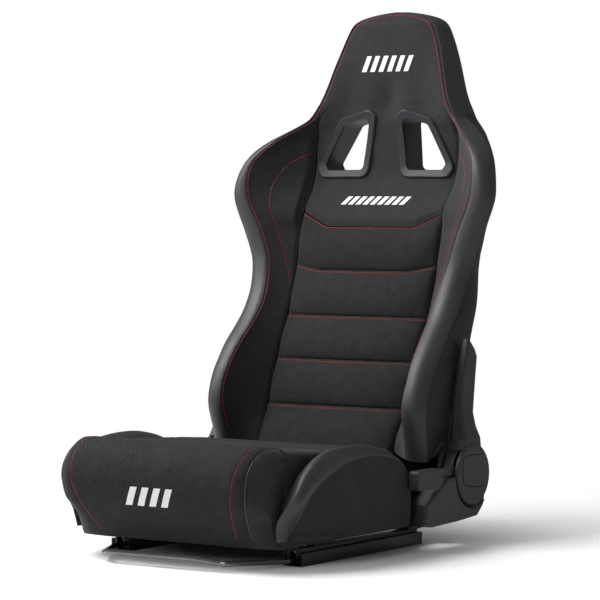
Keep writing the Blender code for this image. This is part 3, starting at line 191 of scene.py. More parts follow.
def grain(name, colour, roughness, size, depth, lighter=None, **sockets):
    # fine pebble or moulded texture: size and depth in metres, lighter is the colour of its tops
    material, tree, shader = newMaterial(name, colour, roughness, **sockets)
    place = addNode(tree, "ShaderNodeTexCoord")
    cells = addNode(tree, "ShaderNodeTexNoise", {"Scale": 1 / size, "Detail": 3, "Roughness": .6},
                    {"Vector": place.outputs["Object"]})
    texture(tree, shader, cells, .5, depth, cells, colour, lighter)
    return material


weaveLook = {"level": .6, "relief": .6, "clouds": 60}   # clouds per metre: the dye takes unevenly


def weave(name, colour, lighter, pitch, depth, slant, roughness=.9, sheen=.25):
    # threads crossing on the piece's own UV map, in metres: slant 1 runs them diagonally, 0 squarely
    material, tree, shader = newMaterial(name, colour, roughness, Sheen_Weight=sheen,
                                         Sheen_Roughness=.5, Specular_IOR_Level=.25)
    shader.inputs["Sheen Tint"].default_value = srgb("#b8b8bc")
    place = addNode(tree, "ShaderNodeUVMap", {"uv_map": "fabric"})
    parts = addNode(tree, "ShaderNodeSeparateXYZ", links={"Vector": place})
    waves = []
    for turns in ((1, slant), (slant, -1)):
        scaled = [addNode(tree, "ShaderNodeMath",
                          {"operation": "MULTIPLY", 1: turn * 2 * math.pi / pitch},
                          {0: parts.outputs[axis]}) for turn, axis in zip(turns, "XY")]
        total = addNode(tree, "ShaderNodeMath", {"operation": "ADD"}, {0: scaled[0], 1: scaled[1]})
        waves.append(addNode(tree, "ShaderNodeMath", {"operation": "SINE"}, {0: total}))
    cross = addNode(tree, "ShaderNodeMath", {"operation": "MULTIPLY"}, {0: waves[0], 1: waves[1]})
    level = addNode(tree, "ShaderNodeMapRange",
                    {"From Min": -weaveLook["level"], "From Max": weaveLook["level"]}, {"Value": cross})
    spread = addNode(tree, "ShaderNodeTexCoord")
    cloudy = addNode(tree, "ShaderNodeTexNoise",
                     {"Scale": weaveLook["clouds"], "Detail": 5, "Roughness": .7},
                     {"Vector": spread.outputs["Object"]})
    both = addNode(tree, "ShaderNodeMath", {"operation": "MULTIPLY"}, {0: level, 1: cloudy})
    texture(tree, shader, level, weaveLook["relief"], depth, both, colour, lighter)
    return material


# polyurethane leather, calendered with a fine pebble: soft wide highlights on deep black;
# the pebble is 1.8 mm, coarser than a real one of 0.8 mm, so that it shows
leather = grain("coatedLeather", "#303031", .48, .0018, .0007, "#3c3c3e", Specular_IOR_Level=.5)
# smooth vinyl of the wings' side panels: duller and a touch warmer than the strips
vinyl = grain("smoothVinyl", "#221f20", .58, .0016, .0002, "#282526", Specular_IOR_Level=.4)
# polyester cloth, plain woven on the bias: matt charcoal, faintly lighter at grazing light;
# its threads are drawn 2 mm apart, coarser than real ones, so that they show
cloth = weave("wovenPolyester", "#1d1d1e", "#434344", .0042, .0003, 1)
# warp-knit spacer mesh: black holes between grey knots 2.7 mm apart
mesh = weave("spacerMesh", "#040404", "#454545", .0054, .0009, 0, .85, .10)
# the cloth's underside: black felt without gloss; the same black is painted shade in the chevron's seam
# groove, in the cap's moulded groove and at the cushion's rear corners
liningAndPaintedShade = newMaterial("blackFelt", "#0d0d0d", .95, Specular_IOR_Level=.1)[0]
# bonded polyester thread: dark red with a slight lustre
thread = newMaterial("redPolyesterThread", "#a0282b", .5)[0]
# cord sewn into the seams, coloured grey as a painted highlight: the thin line of light along each seam
highlightCord = newMaterial("greyPipingCord", "#4a4a4c", .5)[0]
# polyamide, injection moulded with a spark-eroded surface: dark grey, satin;
# the grain of this and of the next three, about 1 mm, is coarser than real ones so that it shows
coverPlastic = grain("sparkErodedPolyamide", "#2d2e30", .46, .0012, .0002, "#353638")
# ABS, moulded with a finer surface: satin, with narrower highlights than the covers
bezelPlastic = grain("satinAbs", "#2a2c2f", .38, .0010, .0001)
# steel, powder coated: black with a close gloss on the rails, matt on the hidden frame
railPaint = grain("blackPowderCoat", "#141416", .32, .0011, .0001)
framePaint = grain("mattPowderCoat", "#1a1a1c", .5, .0010, .0002)
# bare ground steel of the balls and rollers, and zinc-plated steel of the bolts: plain greys
bearingSteel = newMaterial("groundSteel", "#8d8f92", .3, Metallic=1)[0]
zinc = newMaterial("zincPlatedSteel", "#a9abad", .35, Metallic=1)[0]
# steel tube plated in black chrome: dark, with sharp bright lines along it
chrome = newMaterial("blackChromeSteel", "#7c7d81", .24, Metallic=.9)[0]
# white ink, screen printed: flat and matt
whitePrint = newMaterial("whiteScreenPrint", "#ececec", .6)[0]


def placeObject(name, data):
    obj = bpy.data.objects.new(name, data)
    bpy.context.scene.collection.objects.link(obj)
    return obj


def evaluatedMesh(obj):
    return bpy.data.meshes.new_from_object(obj.evaluated_get(bpy.context.evaluated_depsgraph_get()))


def meshObject(name, points, faces, kinds, materials, uv=None, sharpAt=50):
    data = bpy.data.meshes.new(name)
    data.from_pydata([tuple(p) for p in points], [], faces)
    obj = placeObject(name, data)
    for material in materials:
        data.materials.append(material)
    data.polygons.foreach_set("material_index", kinds)
    data.polygons.foreach_set("use_smooth", [True] * len(faces))
    if uv:
        layer = data.uv_layers.new(name="fabric")
        layer.data.foreach_set("uv", [c for loop in data.loops for c in uv[loop.vertex_index]])
    data.update()
    volume = sum(p.center.dot(p.normal) * p.area for p in data.polygons)
    if volume < 0:
        data.flip_normals()
    data.set_sharp_from_angle(angle=math.radians(sharpAt))
    return obj


def loft(name, rows, materials, kindOf=lambda i, j: 0, sharpAt=50):
    # closed loops of points, row after row, the first and last filled
    count = len(rows[0])
    points = [Vector((p[0], p[1] + depthShift, p[2])) for row in rows for p in row]
    middleRow = rows[len(rows) // 2]
    across, along = [0], [0]
    for i in range(1, count):
        across.append(across[-1] + math.dist(middleRow[i - 1], middleRow[i]))
    for j in range(1, len(rows)):
        along.append(along[-1] + math.dist(rows[j - 1][count // 4], rows[j][count // 4]))
    uv = [(across[i], along[j]) for j in range(len(rows)) for i in range(count)]
    faces, kinds = [], []
    for j in range(len(rows) - 1):
        for i in range(count):
            k = (i + 1) % count
            faces.append((j * count + i, j * count + k, (j + 1) * count + k, (j + 1) * count + i))
            kinds.append(kindOf(i, j))
    last = (len(rows) - 1) * count
    faces += [tuple(reversed(range(count))), tuple(range(last, last + count))]
    kinds += [kindOf(0, 0), kindOf(0, len(rows) - 2)]
    return meshObject(name, points, faces, kinds, materials, uv, sharpAt)


def moveOut(obj, amountAt):
    normals = [v.normal.copy() for v in obj.data.vertices]
    for vertex, normal in zip(obj.data.vertices, normals):
        vertex.co += normal * amountAt(vertex.co)
    obj.data.update()


def sinkAlong(obj, points, depth, width, step=.001):
    # a sewn seam: the surface draws in along a line of points
    path = [Vector(points[-1])]
    for a, b in zip(points, points[1:]):
        pieces = max(1, int(math.dist(a, b) / step))
        path += [Vector(a).lerp(Vector(b), k / pieces) for k in range(pieces)]
    tree = kdtree.KDTree(len(path))
    for i, point in enumerate(path):
        tree.insert(point, i)
    tree.balance()

    def sink(place):
        distance = tree.find(place)[2]
        return -depth * falloff(distance, width) if distance < width * 3 else 0

    moveOut(obj, sink)


def ripple(obj, height, size, seed, upTo=9, fade=.05):
    # soft unevenness of foam under a cover, fading out below the height upTo
    moveOut(obj, lambda place: height * (1 - blendStep(upTo - fade, upTo, place.z))
            * noise.noise(place / size + Vector((seed, 0, 0))))


laid = {"stitches": .0003, "welt": .0001, "rollWelt": .0002, "printTop": .0006, "printBack": -.0002}


def nearSurface(obj, points, above):
    # the same line laid on the finished surface, or a little above it
    found = [obj.closest_point_on_mesh(Vector(point)) for point in points]
    return [place + normal * above for hit, place, normal, face in found]


def dress(obj, node, body="backrest"):
    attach(obj, body)
    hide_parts(node)


stitchSizes = {"Pitch": .0052, "Length": .0040, "Thickness": .0011, "sides": 6}


def stitchTree():
    # one short bar of thread at each step along a path
    tree = bpy.data.node_groups.new("stitching", "GeometryNodeTree")
    tree.interface.new_socket("Geometry", in_out="INPUT", socket_type="NodeSocketGeometry")
    for name in ("Pitch", "Length", "Thickness"):
        socket = tree.interface.new_socket(name, in_out="INPUT", socket_type="NodeSocketFloat")
        socket.default_value = stitchSizes[name]
    tree.interface.new_socket("Thread", in_out="INPUT", socket_type="NodeSocketMaterial")
    tree.interface.new_socket("Geometry", in_out="OUTPUT", socket_type="NodeSocketGeometry")
    start = addNode(tree, "NodeGroupInput")
    line = addNode(tree, "GeometryNodeMeshToCurve", links={"Mesh": start})
    steps = addNode(tree, "GeometryNodeResampleCurve", {"mode": "LENGTH"},
                    {"Curve": line, "Length": start.outputs["Pitch"]})
    half = addNode(tree, "ShaderNodeMath", {"operation": "MULTIPLY", 1: .5},
                   {0: start.outputs["Thickness"]})
    bar = addNode(tree, "GeometryNodeMeshCylinder",
                  {"Vertices": stitchSizes["sides"], "fill_type": "TRIANGLE_FAN"},
                  {"Radius": half, "Depth": start.outputs["Length"]})
    tangent = addNode(tree, "GeometryNodeInputTangent")
    turn = addNode(tree, "FunctionNodeAlignRotationToVector", {"axis": "Z"},
                   {"Vector": tangent})
    placed = addNode(tree, "GeometryNodeInstanceOnPoints", links={
        "Points": steps, "Instance": bar, "Rotation": turn})
    real = addNode(tree, "GeometryNodeRealizeInstances", links={"Geometry": placed})
    done = addNode(tree, "GeometryNodeSetMaterial",
                   links={"Geometry": real, "Material": start.outputs["Thread"]})
    addNode(tree, "NodeGroupOutput", links={"Geometry": done})
    return tree


stitching = stitchTree()


def sew(name, lines, surface, body="backrest"):
    # a row of stitches along each line, laid on the surface, as one plain mesh
    points, edges = [], []
    for line in lines:
        first = len(points)
        points += nearSurface(surface, line, laid["stitches"])
        edges += [(first + i, first + i + 1) for i in range(len(line) - 1)]
    data = bpy.data.meshes.new(name + "Line")
    data.from_pydata([tuple(p) for p in points], edges, [])
    line = placeObject(name + "Line", data)
    modifier = line.modifiers.new("stitching", "NODES")
    modifier.node_group = stitching
    sockets = {item.name: item.identifier for item in stitching.interface.items_tree
               if item.in_out == "INPUT"}
    modifier[sockets["Thread"]] = thread
    result = evaluatedMesh(line)
    bpy.data.objects.remove(line)
    result.name = name
    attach(placeObject(name, result), body)


beadSides = 6


def bead(name, lines, surface, radius, material, body="backrest", above=laid["welt"]):
    # a continuous cord or groove line: a six-sided sweep along each line, laid on a surface or as it is
    points, faces = [], []
    for line in lines:
        path = nearSurface(surface, line, above) if surface else [Vector(point) for point in line]
        first = len(points)
        up = Vector((.3, .2, 1)).normalized()
        for i, here in enumerate(path):
            along = (path[min(i + 1, len(path) - 1)] - path[max(i - 1, 0)]).normalized()
            side = along.cross(up)
            side = side.normalized() if side.length > .01 else Vector((1, 0, 0))
            up = side.cross(along).normalized()
            for k in range(beadSides):
                angle = 2 * math.pi * k / beadSides
                points.append(here + (side * math.cos(angle) + up * math.sin(angle)) * radius)
        last = first + (len(path) - 1) * beadSides
        for a in range(first, last, beadSides):
            for k in range(beadSides):
                b = (k + 1) % beadSides
                faces.append((a + k, a + b, a + beadSides + b, a + beadSides + k))
        faces += [tuple(range(first + beadSides - 1, first - 1, -1)),
                  tuple(range(last, last + beadSides))]
    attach(meshObject(name, points, faces, [0] * len(faces), [material]), body)


barGrid = {"columns": 5, "rows": 7}


def printBars(name, cover, shape, body="backrest"):
    # slanted white bars, printed: thin plates that follow the cover
    across, up = barGrid["columns"], barGrid["rows"]
    plate = across * up
    rim = [*range(across), *range(2 * across - 1, plate, across),
           *range(plate - 2, plate - across - 1, -1), *range(plate - 2 * across, 0, -across)]
    points, faces = [], []
    pitch = shape["width"] / shape["count"]
    for n in range(shape["count"]):
        left = -shape["width"] / 2 + n * pitch
        grid = []
        for j in range(up):
            high = shape["height"] * (j / (up - 1) - .5)
            z = shape["centre"] + high
            for i in range(across):
                x = left + pitch * shape["fill"] * i / (across - 1) + high * shape["lean"]
                grid.append((x, shape["depth"](x, z) + depthShift, z))
        first = len(points)
        for layer in ("printTop", "printBack"):
            points += nearSurface(cover, grid, laid[layer])
        for j in range(up - 1):
            for i in range(across - 1):
                a = first + j * across + i
                b = a + plate
                faces += [(a, a + 1, a + across + 1, a + across), (b, b + across, b + across + 1, b + 1)]
        for a, b in zip(rim, rim[1:] + rim[:1]):
            faces.append((first + b, first + a, first + a + plate, first + b + plate))
    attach(meshObject(name, points, faces, [0] * len(faces), [whitePrint]), body)


frontShape = {                # the backrest's front face before its seams
    "headBlend": (.740, .800),                # heights where the chest turns into the headrest
    "cup": .55,                               # share of the half width where the headrest's side rises
    "topDraw": (.950, .974, .010),            # from, to, and how far the top leans back
    "valley": ((.009, .024), (.805, .042)),   # hollow at the neck: depth, width; height, reach
    "innerSwell": .004, "wallWidth": .008,    # the wings' inner faces
    "edgeSink": .004, "edgeFade": (.745, .790),    # seam between insert and wing, and where it runs out
}


def topDraw(z):
    low, high, draw = frontShape["topDraw"]
    return draw * max(0, (z - low) / (high - low))


def centreDepth(x, z):
    return back("centre", z) + back("edgeBack", z) * min(1, abs(x) / back("insertEdge", z))**4


def headDepth(x, z):
    # the headrest's cupped front, also the chest's last part below it
    if z < backShape["headStart"]:
        half, forward = back("seamWidth", z), back("seamDepth", z) - back("centre", z)
    else:
        half, forward = back("headWidth", z), back("headEdge", z)
    (depth, width), (height, reach) = frontShape["valley"]
    valley = depth * math.exp(-(x / width)**2 - ((z - height) / reach)**2)
    rise = blendStep(frontShape["cup"], 1, abs(x) / half)
    return back("centre", z) + topDraw(z) + valley + forward * rise


def frontDepth(x, z):
    if z >= backShape["headStart"]:
        return headDepth(x, z)
    edge = back("insertEdge", z)
    if abs(x) <= edge:
        depth = centreDepth(x, z)
    else:
        span = max(.001, back("seamWidth", z) - edge)
        t = (abs(x) - edge) / span
        wall = back("innerWall", z)
        depth = mix(centreDepth(edge, z) - wall, back("seamDepth", z), t)
        depth += frontShape["innerSwell"] * math.sin(math.pi * t)
        depth += wall * (1 - blendStep(0, frontShape["wallWidth"] / span, t))
    return mix(depth, headDepth(x, z), blendStep(*frontShape["headBlend"], z))


def frontLine(places, ahead=0):
    # points on the front face, or a little ahead of it, for a seam to follow
    return [(x, frontDepth(x, z) + depthShift - ahead, z) for x, z in places]


def edgeSink(distance, z):
    sink = frontShape["edgeSink"]
    return sink * (1 - blendStep(*frontShape["edgeFade"], z)) * falloff(distance, sink)


def foamBack(z):
    return back("rear", z) - backShape["frameSpace"]


def channelHeight(name, x):
    low, bend, high = channelShape[name]
    return low + (high - low) * max(0, abs(x) - bend) / (channelShape["endWidth"] - bend)


def roundedCorners(corners, inset, radius, steps=6):
    # the outline moved in by inset, its corners rounded
    points = []
    for i, corner in enumerate(corners):
        here = Vector(corner)
        before = (Vector(corners[i - 1]) - here).normalized()
        after = (Vector(corners[(i + 1) % len(corners)]) - here).normalized()
        half = before.angle(after) / 2
        inward = (before + after).normalized() / math.sin(half)
        here += inward * inset
        centre = here + inward * radius
        start, end = [here + way * radius / math.tan(half) - centre for way in (before, after)]
        angle = start.angle(end)
        for t in spaced(0, 1, steps + 1):
            arc = (start * math.sin((1 - t) * angle) + end * math.sin(t * angle)) / math.sin(angle)
            points.append(tuple(centre + arc))
    return points


def cutSlots(obj):
    # both harness slots cut through a cover, their edges hidden by the bezels' rims
    distance = slotShape["rim"] - slotShape["overlap"]
    shape = roundedCorners(slotShape["corners"], distance, slotShape["rounding"] - distance * .5)
    for side in (-1, 1):
        rows = [[(side * x, y, z) for x, z in shape] for y in slotShape["cut"]]
        cutter = loft("slotCutter", rows, [liningAndPaintedShade])
        modifier = obj.modifiers.new("slot", "BOOLEAN")
        modifier.object, modifier.operation, modifier.solver = cutter, "DIFFERENCE", "EXACT"
        result = evaluatedMesh(obj)
        obj.modifiers.clear()
        obj.data = result
        bpy.data.objects.remove(cutter)


insertSizes = {
    "puff": .0130, "sink": .0035, "chestPuff": .002, "chestSeam": .035, "chestEnd": (.76, .80),
    "columns": 61, "rows": 15, "chestRows": 60, "crowding": 1.25,
    "stitchHalf": .155, "stitchRise": -.0035, "hemRise": .031, "ahead": .002,
    "grooveShadeHalf": .157, "grooveShadeRise": .0002, "grooveShadeRadius": .0011,
    "print": {"width": .146, "height": .015, "count": 9, "fill": .62, "lean": .8, "centre": .618,
              "depth": lambda x, z: frontDepth(x, z) - .004},
}


def buildInsert():
    # quilted mesh channels up the back, then the plain cloth of the chest
    sizes = insertSizes
    names = ["bottom", "first", "second", "third", "fourth", "chevron", "top"]
    end = channelShape["endWidth"]
    rows, fabricRow = [], []
    for low, high in zip(names, names[1:]):
        chest = high == "top"
        count = sizes["chestRows"] if chest else sizes["rows"]
        for n in range(count + (1 if chest else 0)):
            t = n / count if chest else eased(n, count)
            row = []
            for i in range(sizes["columns"]):
                u = towardsEdges(i, sizes["columns"], sizes["crowding"])
                guess = mix(channelHeight(low, u * end), channelHeight(high, u * end), t)
                edge = back("insertEdge", guess) - backShape["panelGap"]
                x = u * edge
                z = mix(channelHeight(low, x), channelHeight(high, x), t)
                y = frontDepth(x, z)
                side = 1 - abs(u)**8
                if chest:
                    seam = falloff(t, sizes["chestSeam"])
                    puff = sizes["chestPuff"] * (1 - seam) * side
                    y += sizes["sink"] * seam - puff * (1 - blendStep(*sizes["chestEnd"], z))
                else:
                    y += sizes["sink"] - sizes["puff"] * math.sin(math.pi * t)**.6 * side**.5
                row.append((x, y + edgeSink(edge - abs(x), z), z))
            rows.append(row + [(x, foamBack(z), z) for x, y, z in reversed(row)])
            fabricRow.append(0 if chest else 1)
    obj = loft("backInsert", rows, [cloth, mesh, liningAndPaintedShade],
               lambda i, j: 2 if i >= sizes["columns"] - 1 else fabricRow[j])
    cutSlots(obj)
    dress(obj, "back_foam")

    def seamLine(name, half, rise, count):
        places = [(x, channelHeight(name, x) + rise) for x in spaced(-half, half, count)]
        return frontLine(places, sizes["ahead"])

    lines = [seamLine(name, sizes["stitchHalf"], sizes["stitchRise"], 80) for name in names[1:-1]]
    hem = seamLine("bottom", sizes["stitchHalf"], sizes["hemRise"], 80)
    sew("channelStitches", [hem] + lines, obj)
    # a black cord along the chevron seam: painted shade in its groove
    welt = seamLine("chevron", sizes["grooveShadeHalf"], sizes["grooveShadeRise"], 120)
    bead("chevronWelt", [welt], obj, sizes["grooveShadeRadius"], liningAndPaintedShade)
    printBars("chestPrint", obj, sizes["print"])
    print("insert and chest built")


wingSizes = {
    "inner": 26, "strip": 20, "side": 14, "rear": 8, "rows": 150,   # steps round and up
    "edgeCalm": (.61, .65, .8), "seamSink": .003,                   # inner face
    "crest": .207, "ridgeSink": (.0015, .0025, .002),               # leather strip along the ridge
    "sideSwell": .004, "rearSwell": .002, "cornerGap": .003,
    "headBlend": (.705, .795),                                      # where it takes the headrest's side
    "tip": .150, "cap": .034, "taper": .12, "rearEnd": .168, "endReach": .060,      # lower end
    "fold": .776, "foldSteps": (4, 24), "foldRadius": .0007,
    "wrinkle": (.0012, .05), "wrinkleEnd": .790,
    "stitchInset": .0062, "stitchEnds": (.190, .799), "bowSink": (.0012, .003),
    "bulge": [(.700, .030), (.740, .0205), (.768, .0165), (.800, .0145), (.835, .0130), (.974, .012)],
    "bulgeForm": (.85, .02, .7), "rearTuck": (.45, .003, .85),
    "shares": (.30, .40, .30),   # strip, side and rear of the swelling side
    "bow": [(.161, .460), (.168, .486), (.177, .512), (.185, .537), (.194, .563), (.203, .589),
            (.211, .615), (.213, .641), (.207, .665), (.195, .685), (.178, .700), (.166, .707)],
}


def swellingSide(z):
    # the headrest's side, which the wing turns into: one swelling curve from front to rear
    sizes = wingSizes
    if z < backShape["headStart"]:
        half, front, rear = back("seamWidth", z), back("seamDepth", z), back("rear", z)
    else:
        half, rear = back("headWidth", z), headRear(z)
        front = headDepth(half, z) + headLift(z)
    bulge = lineAt(sizes["bulge"], z)
    strip, side, last = sizes["shares"]
    shares = [strip * eased(k, sizes["strip"]) for k in range(sizes["strip"])]
    shares += [strip + side * k / sizes["side"] for k in range(sizes["side"])]
    shares += [strip + side + last * k / sizes["rear"] for k in range(sizes["rear"] + 1)]
    stretch, offset, power = sizes["bulgeForm"]
    part, least, start = sizes["rearTuck"]
    curve = []
    for t in shares:
        out = bulge * math.sin(math.pi * min(1, t * stretch + offset))**power
        tuck = (bulge * part + least) * blendStep(start, 1, t)
        curve.append((half + out - tuck, mix(front, rear, t)))
    return curve


def wingLoop(z, side):
    # one level of a wing: inner face, strip, side and rear, then back along the panel and the foam
    sizes = wingSizes
    edge = back("insertEdge", z)
    seam, ridge, flank = [Vector((back(name + "Width", z), back(name + "Depth", z)))
                          for name in ("seam", "ridge", "flank")]
    inner = back("panelWidth", z) + backShape["panelGap"]
    corner = Vector((max(back("cornerWidth", z), inner + sizes["cornerGap"]), back("rear", z)))
    low, high, calm = sizes["edgeCalm"]
    span = (seam - Vector((edge, frontDepth(edge, z)))).length
    loop = []
    for k in range(sizes["inner"]):
        t = eased(k, sizes["inner"])
        x = mix(edge, seam.x, t)
        sink = edgeSink(t * span, z) * (1 - calm * blendStep(low, high, z))
        sink += sizes["seamSink"] * falloff((1 - t) * span, sizes["seamSink"])
        loop.append((x, frontDepth(x, z) + sink))
    depth, nearSeam, nearRidge = sizes["ridgeSink"]
    out = Vector((.1, -1)).normalized()
    length = (ridge - seam).length
    for k in range(sizes["strip"]):
        t = eased(k, sizes["strip"])
        sink = depth * (falloff(t * length, nearSeam) + falloff((1 - t) * length, nearRidge))
        rise = length * sizes["crest"] * math.sin(math.pi * t)
        loop.append(tuple(seam.lerp(ridge, t) + out * (rise - sink)))
    normal = Vector(((flank - ridge).y, -(flank - ridge).x)).normalized()
    length = (flank - ridge).length
    for k in range(sizes["side"]):
        t = k / sizes["side"]
        rise = sizes["sideSwell"] * math.sin(math.pi * t) - depth * falloff(t * length, nearRidge)
        loop.append(tuple(ridge.lerp(flank, t) + normal * rise))
    for k in range(sizes["rear"] + 1):
        t = k / sizes["rear"]
        place = flank.lerp(corner, t)
        loop.append((place.x + sizes["rearSwell"] * math.sin(math.pi * t), place.y))
    share = blendStep(*sizes["headBlend"], z)
    outside = zip(loop[sizes["inner"]:], swellingSide(z))
    loop = loop[:sizes["inner"]] + [(mix(a[0], b[0], share), mix(a[1], b[1], share)) for a, b in outside]
    loop += [(inner, corner.y), (inner, foamBack(z)), (edge, foamBack(z))]
    drop = max(0, 1 - (z - backShape["bottom"]) / sizes["endReach"])
    firstRear = sizes["inner"] + sizes["strip"] + sizes["side"]
    ended = []
    for k, (x, y) in enumerate(loop):
        end = sizes["rearEnd"]
        if k < firstRear:
            end = sizes["tip"] + min(sizes["cap"], max(0, y - ridge.y, (ridge.x - x) * sizes["taper"]))
        ended.append((side * x, y, z + drop**2 * (end - backShape["bottom"])))
    return ended


def buildWing(side, name, node):
    sizes = wingSizes
    heights = spaced(backShape["bottom"], backShape["top"], sizes["rows"])
    firstStrip, firstSide = sizes["inner"], sizes["inner"] + sizes["strip"]
    firstRear = firstSide + sizes["side"]
    firstBack = firstRear + sizes["rear"]

    def kindOf(i, j):         # above the fold the whole side is leather, as on the headrest
        if i < firstStrip:
            return 0
        if i < firstSide or i < firstBack and heights[j] > sizes["fold"]:
            return 1
        if i < firstBack:
            return 3 if i < firstRear else 0
        return 2

    obj = loft(name, [wingLoop(z, side) for z in heights], [cloth, leather, liningAndPaintedShade, vinyl], kindOf, 26)
    ripple(obj, *sizes["wrinkle"], side, sizes["wrinkleEnd"])
    outer = []
    for z in spaced(*sizes["stitchEnds"], 160):
        edge, seam = back("insertEdge", z), back("seamWidth", z)
        span = Vector((seam - edge, back("seamDepth", z) - frontDepth(edge, z))).length
        outer.append((side * (seam - sizes["stitchInset"] * (seam - edge) / span), z))
    bow = frontLine([(side * x, z) for x, z in curvePlaces(sizes["bow"], 90)])
    sinkAlong(obj, bow, *sizes["bowSink"])
    dress(obj, node)
    sew(name + "Stitches", [frontLine(outer), bow], obj)
    first, last = [sizes["inner"] + step for step in sizes["foldSteps"]]
    fold = [(x, y + depthShift, z) for x, y, z in wingLoop(sizes["fold"], side)[first:last]]
    # grey cord across the strip: painted highlight along the fold
    bead(name + "Fold", [fold], obj, sizes["foldRadius"], highlightCord)


headSizes = {
    "front": 61, "rear": 10, "rows": 80, "crowding": 1.3, "bottom": .8001, "top": .9739,
    "turn": (.962, .974), "lift": .004, "rearDraw": .005, "rimSink": .003, "sideTuck": .001,
    "pocketTop": .9050, "pocketStep": (.00005, .0004), "trimFrom": .9735,
    "stitchInset": .006, "stitchTop": .9738, "stitchCentre": .78,
    "print": {"width": .112, "height": .030, "count": 6, "fill": .55, "lean": .35, "centre": .876,
              "depth": lambda x, z: headDepth(x, z) - .002},
}


def headTurn(z):              # the top seam, where front and rear turn towards each other
    return blendStep(*headSizes["turn"], z)**2


def headLift(z):
    return headSizes["lift"] * headTurn(z)


def headRear(z):
    return back("rear", z) - topDraw(z) - headSizes["rearDraw"] * headTurn(z)


def headLoop(z):
    sizes = headSizes
    half = back("headWidth", z)
    side = swellingSide(z)
    row = []
    for k in range(sizes["front"]):
        u = towardsEdges(k, sizes["front"], sizes["crowding"])
        sink = sizes["rimSink"] * falloff((1 - abs(u)) * half, sizes["rimSink"])
        row.append((u * half, headDepth(u * half, z) + sink + headLift(z)))
    rear = headRear(z)
    inner = min(back("panelWidth", z) + backShape["panelGap"], side[-1][0] - sizes["sideTuck"])
    pocket = foamBack(z) if z < sizes["pocketTop"] else rear
    behind = [(x, pocket) for x in spaced(inner, -inner, sizes["rear"] + 1)]
    left = [(-x, y) for x, y in reversed(side)]
    loop = row[:-1] + side + [(inner, rear)] + behind + [(-inner, rear)] + left[:-1]
    return [(x, y, z) for x, y in loop]


def headStitchLine():
    # the outline of the front face, moved in and laid on it
    sizes = headSizes
    heights = [mix(sizes["bottom"], sizes["stitchTop"], 1 - (1 - t)**2) for t in spaced(0, 1, 240)]
    edge = [Vector((back("headWidth", z), z)) for z in heights]
    inset = []
    for before, here, after in zip(edge, edge[1:], edge[2:]):
        along = (after - before).normalized()
        place = here + Vector((-along.y, along.x)) * sizes["stitchInset"]
        if place.x > 0:
            inset.append(place)
    inset.sort(key=lambda p: -math.atan2(p.x, p.y - sizes["stitchCentre"]))
    return frontLine([(-p.x, p.y) for p in inset] + [(p.x, p.y) for p in reversed(inset)])


def buildHeadrest():
    sizes = headSizes
    bottom, top = sizes["bottom"], sizes["top"]
    heights = [bottom + (top - bottom) * (1 - (1 - t)**1.8) for t in spaced(0, 1, sizes["rows"])]
    below, above = sizes["pocketStep"]
    heights = sorted(heights + [sizes["pocketTop"] - below, sizes["pocketTop"] + above])

    def kindOf(i, j):
        return 0 if i < sizes["front"] - 1 and heights[j] < sizes["trimFrom"] else 1

    obj = loft("headrest", [headLoop(z) for z in heights], [cloth, leather], kindOf, 70)
    dress(obj, "headrest_foam")
    sew("headrestStitches", [headStitchLine()], obj)
    printBars("headrestPrint", obj, sizes["print"])
    print("headrest built")


panelSizes = {
    "skirt": [(.095, .4133, .226), (.150, .4334, .232), (.165, .4390, .201)],
    "skirtEnd": .168, "skirtRows": [.095, .105, .120, .135, .150, .155, .160, .165],
    "top": .9046, "rows": 90, "columns": 41, "swell": .0012, "edge": (.0010, .004), "wall": .0035,
    "stitchInset": .008, "stitchEnds": (.185, .90), "behind": .001,
}


def panelAt(z):
    # depth and half width: a skirt, given as height, depth and half width, spreads below the wings
    if z >= panelSizes["skirtEnd"]:
        return back("rear", z), back("panelWidth", z)
    low, middle, high = panelSizes["skirt"]
    a, b = (low, middle) if z < middle[0] else (middle, high)
    t = (z - a[0]) / (b[0] - a[0])
    return mix(a[1], b[1], t), mix(a[2], b[2], t)


def buildRearPanel():
    sizes = panelSizes
    rows = []
    for z in sizes["skirtRows"] + spaced(backShape["bottom"], sizes["top"], sizes["rows"]):
        rear, half = panelAt(z)
        row = []
        for u in spaced(-1, 1, sizes["columns"]):
            sink, width = sizes["edge"]
            swell = sizes["swell"] * (1 - u**6) - sink * falloff((1 - abs(u)) * half, width)
            row.append((u * half, rear + swell, z))
        rows.append(row + [(x, y - sizes["wall"], z) for x, y, z in reversed(row)])
    obj = loft("rearPanel", rows, [cloth])
    cutSlots(obj)
    dress(obj, "rear_panel")
    sew("rearStitches", [[(side * (back("panelWidth", z) - sizes["stitchInset"]),
                           back("rear", z) + depthShift + sizes["behind"], z)
                          for z in spaced(*sizes["stitchEnds"], 121)] for side in (-1, 1)], obj)
    print("rear panel built")


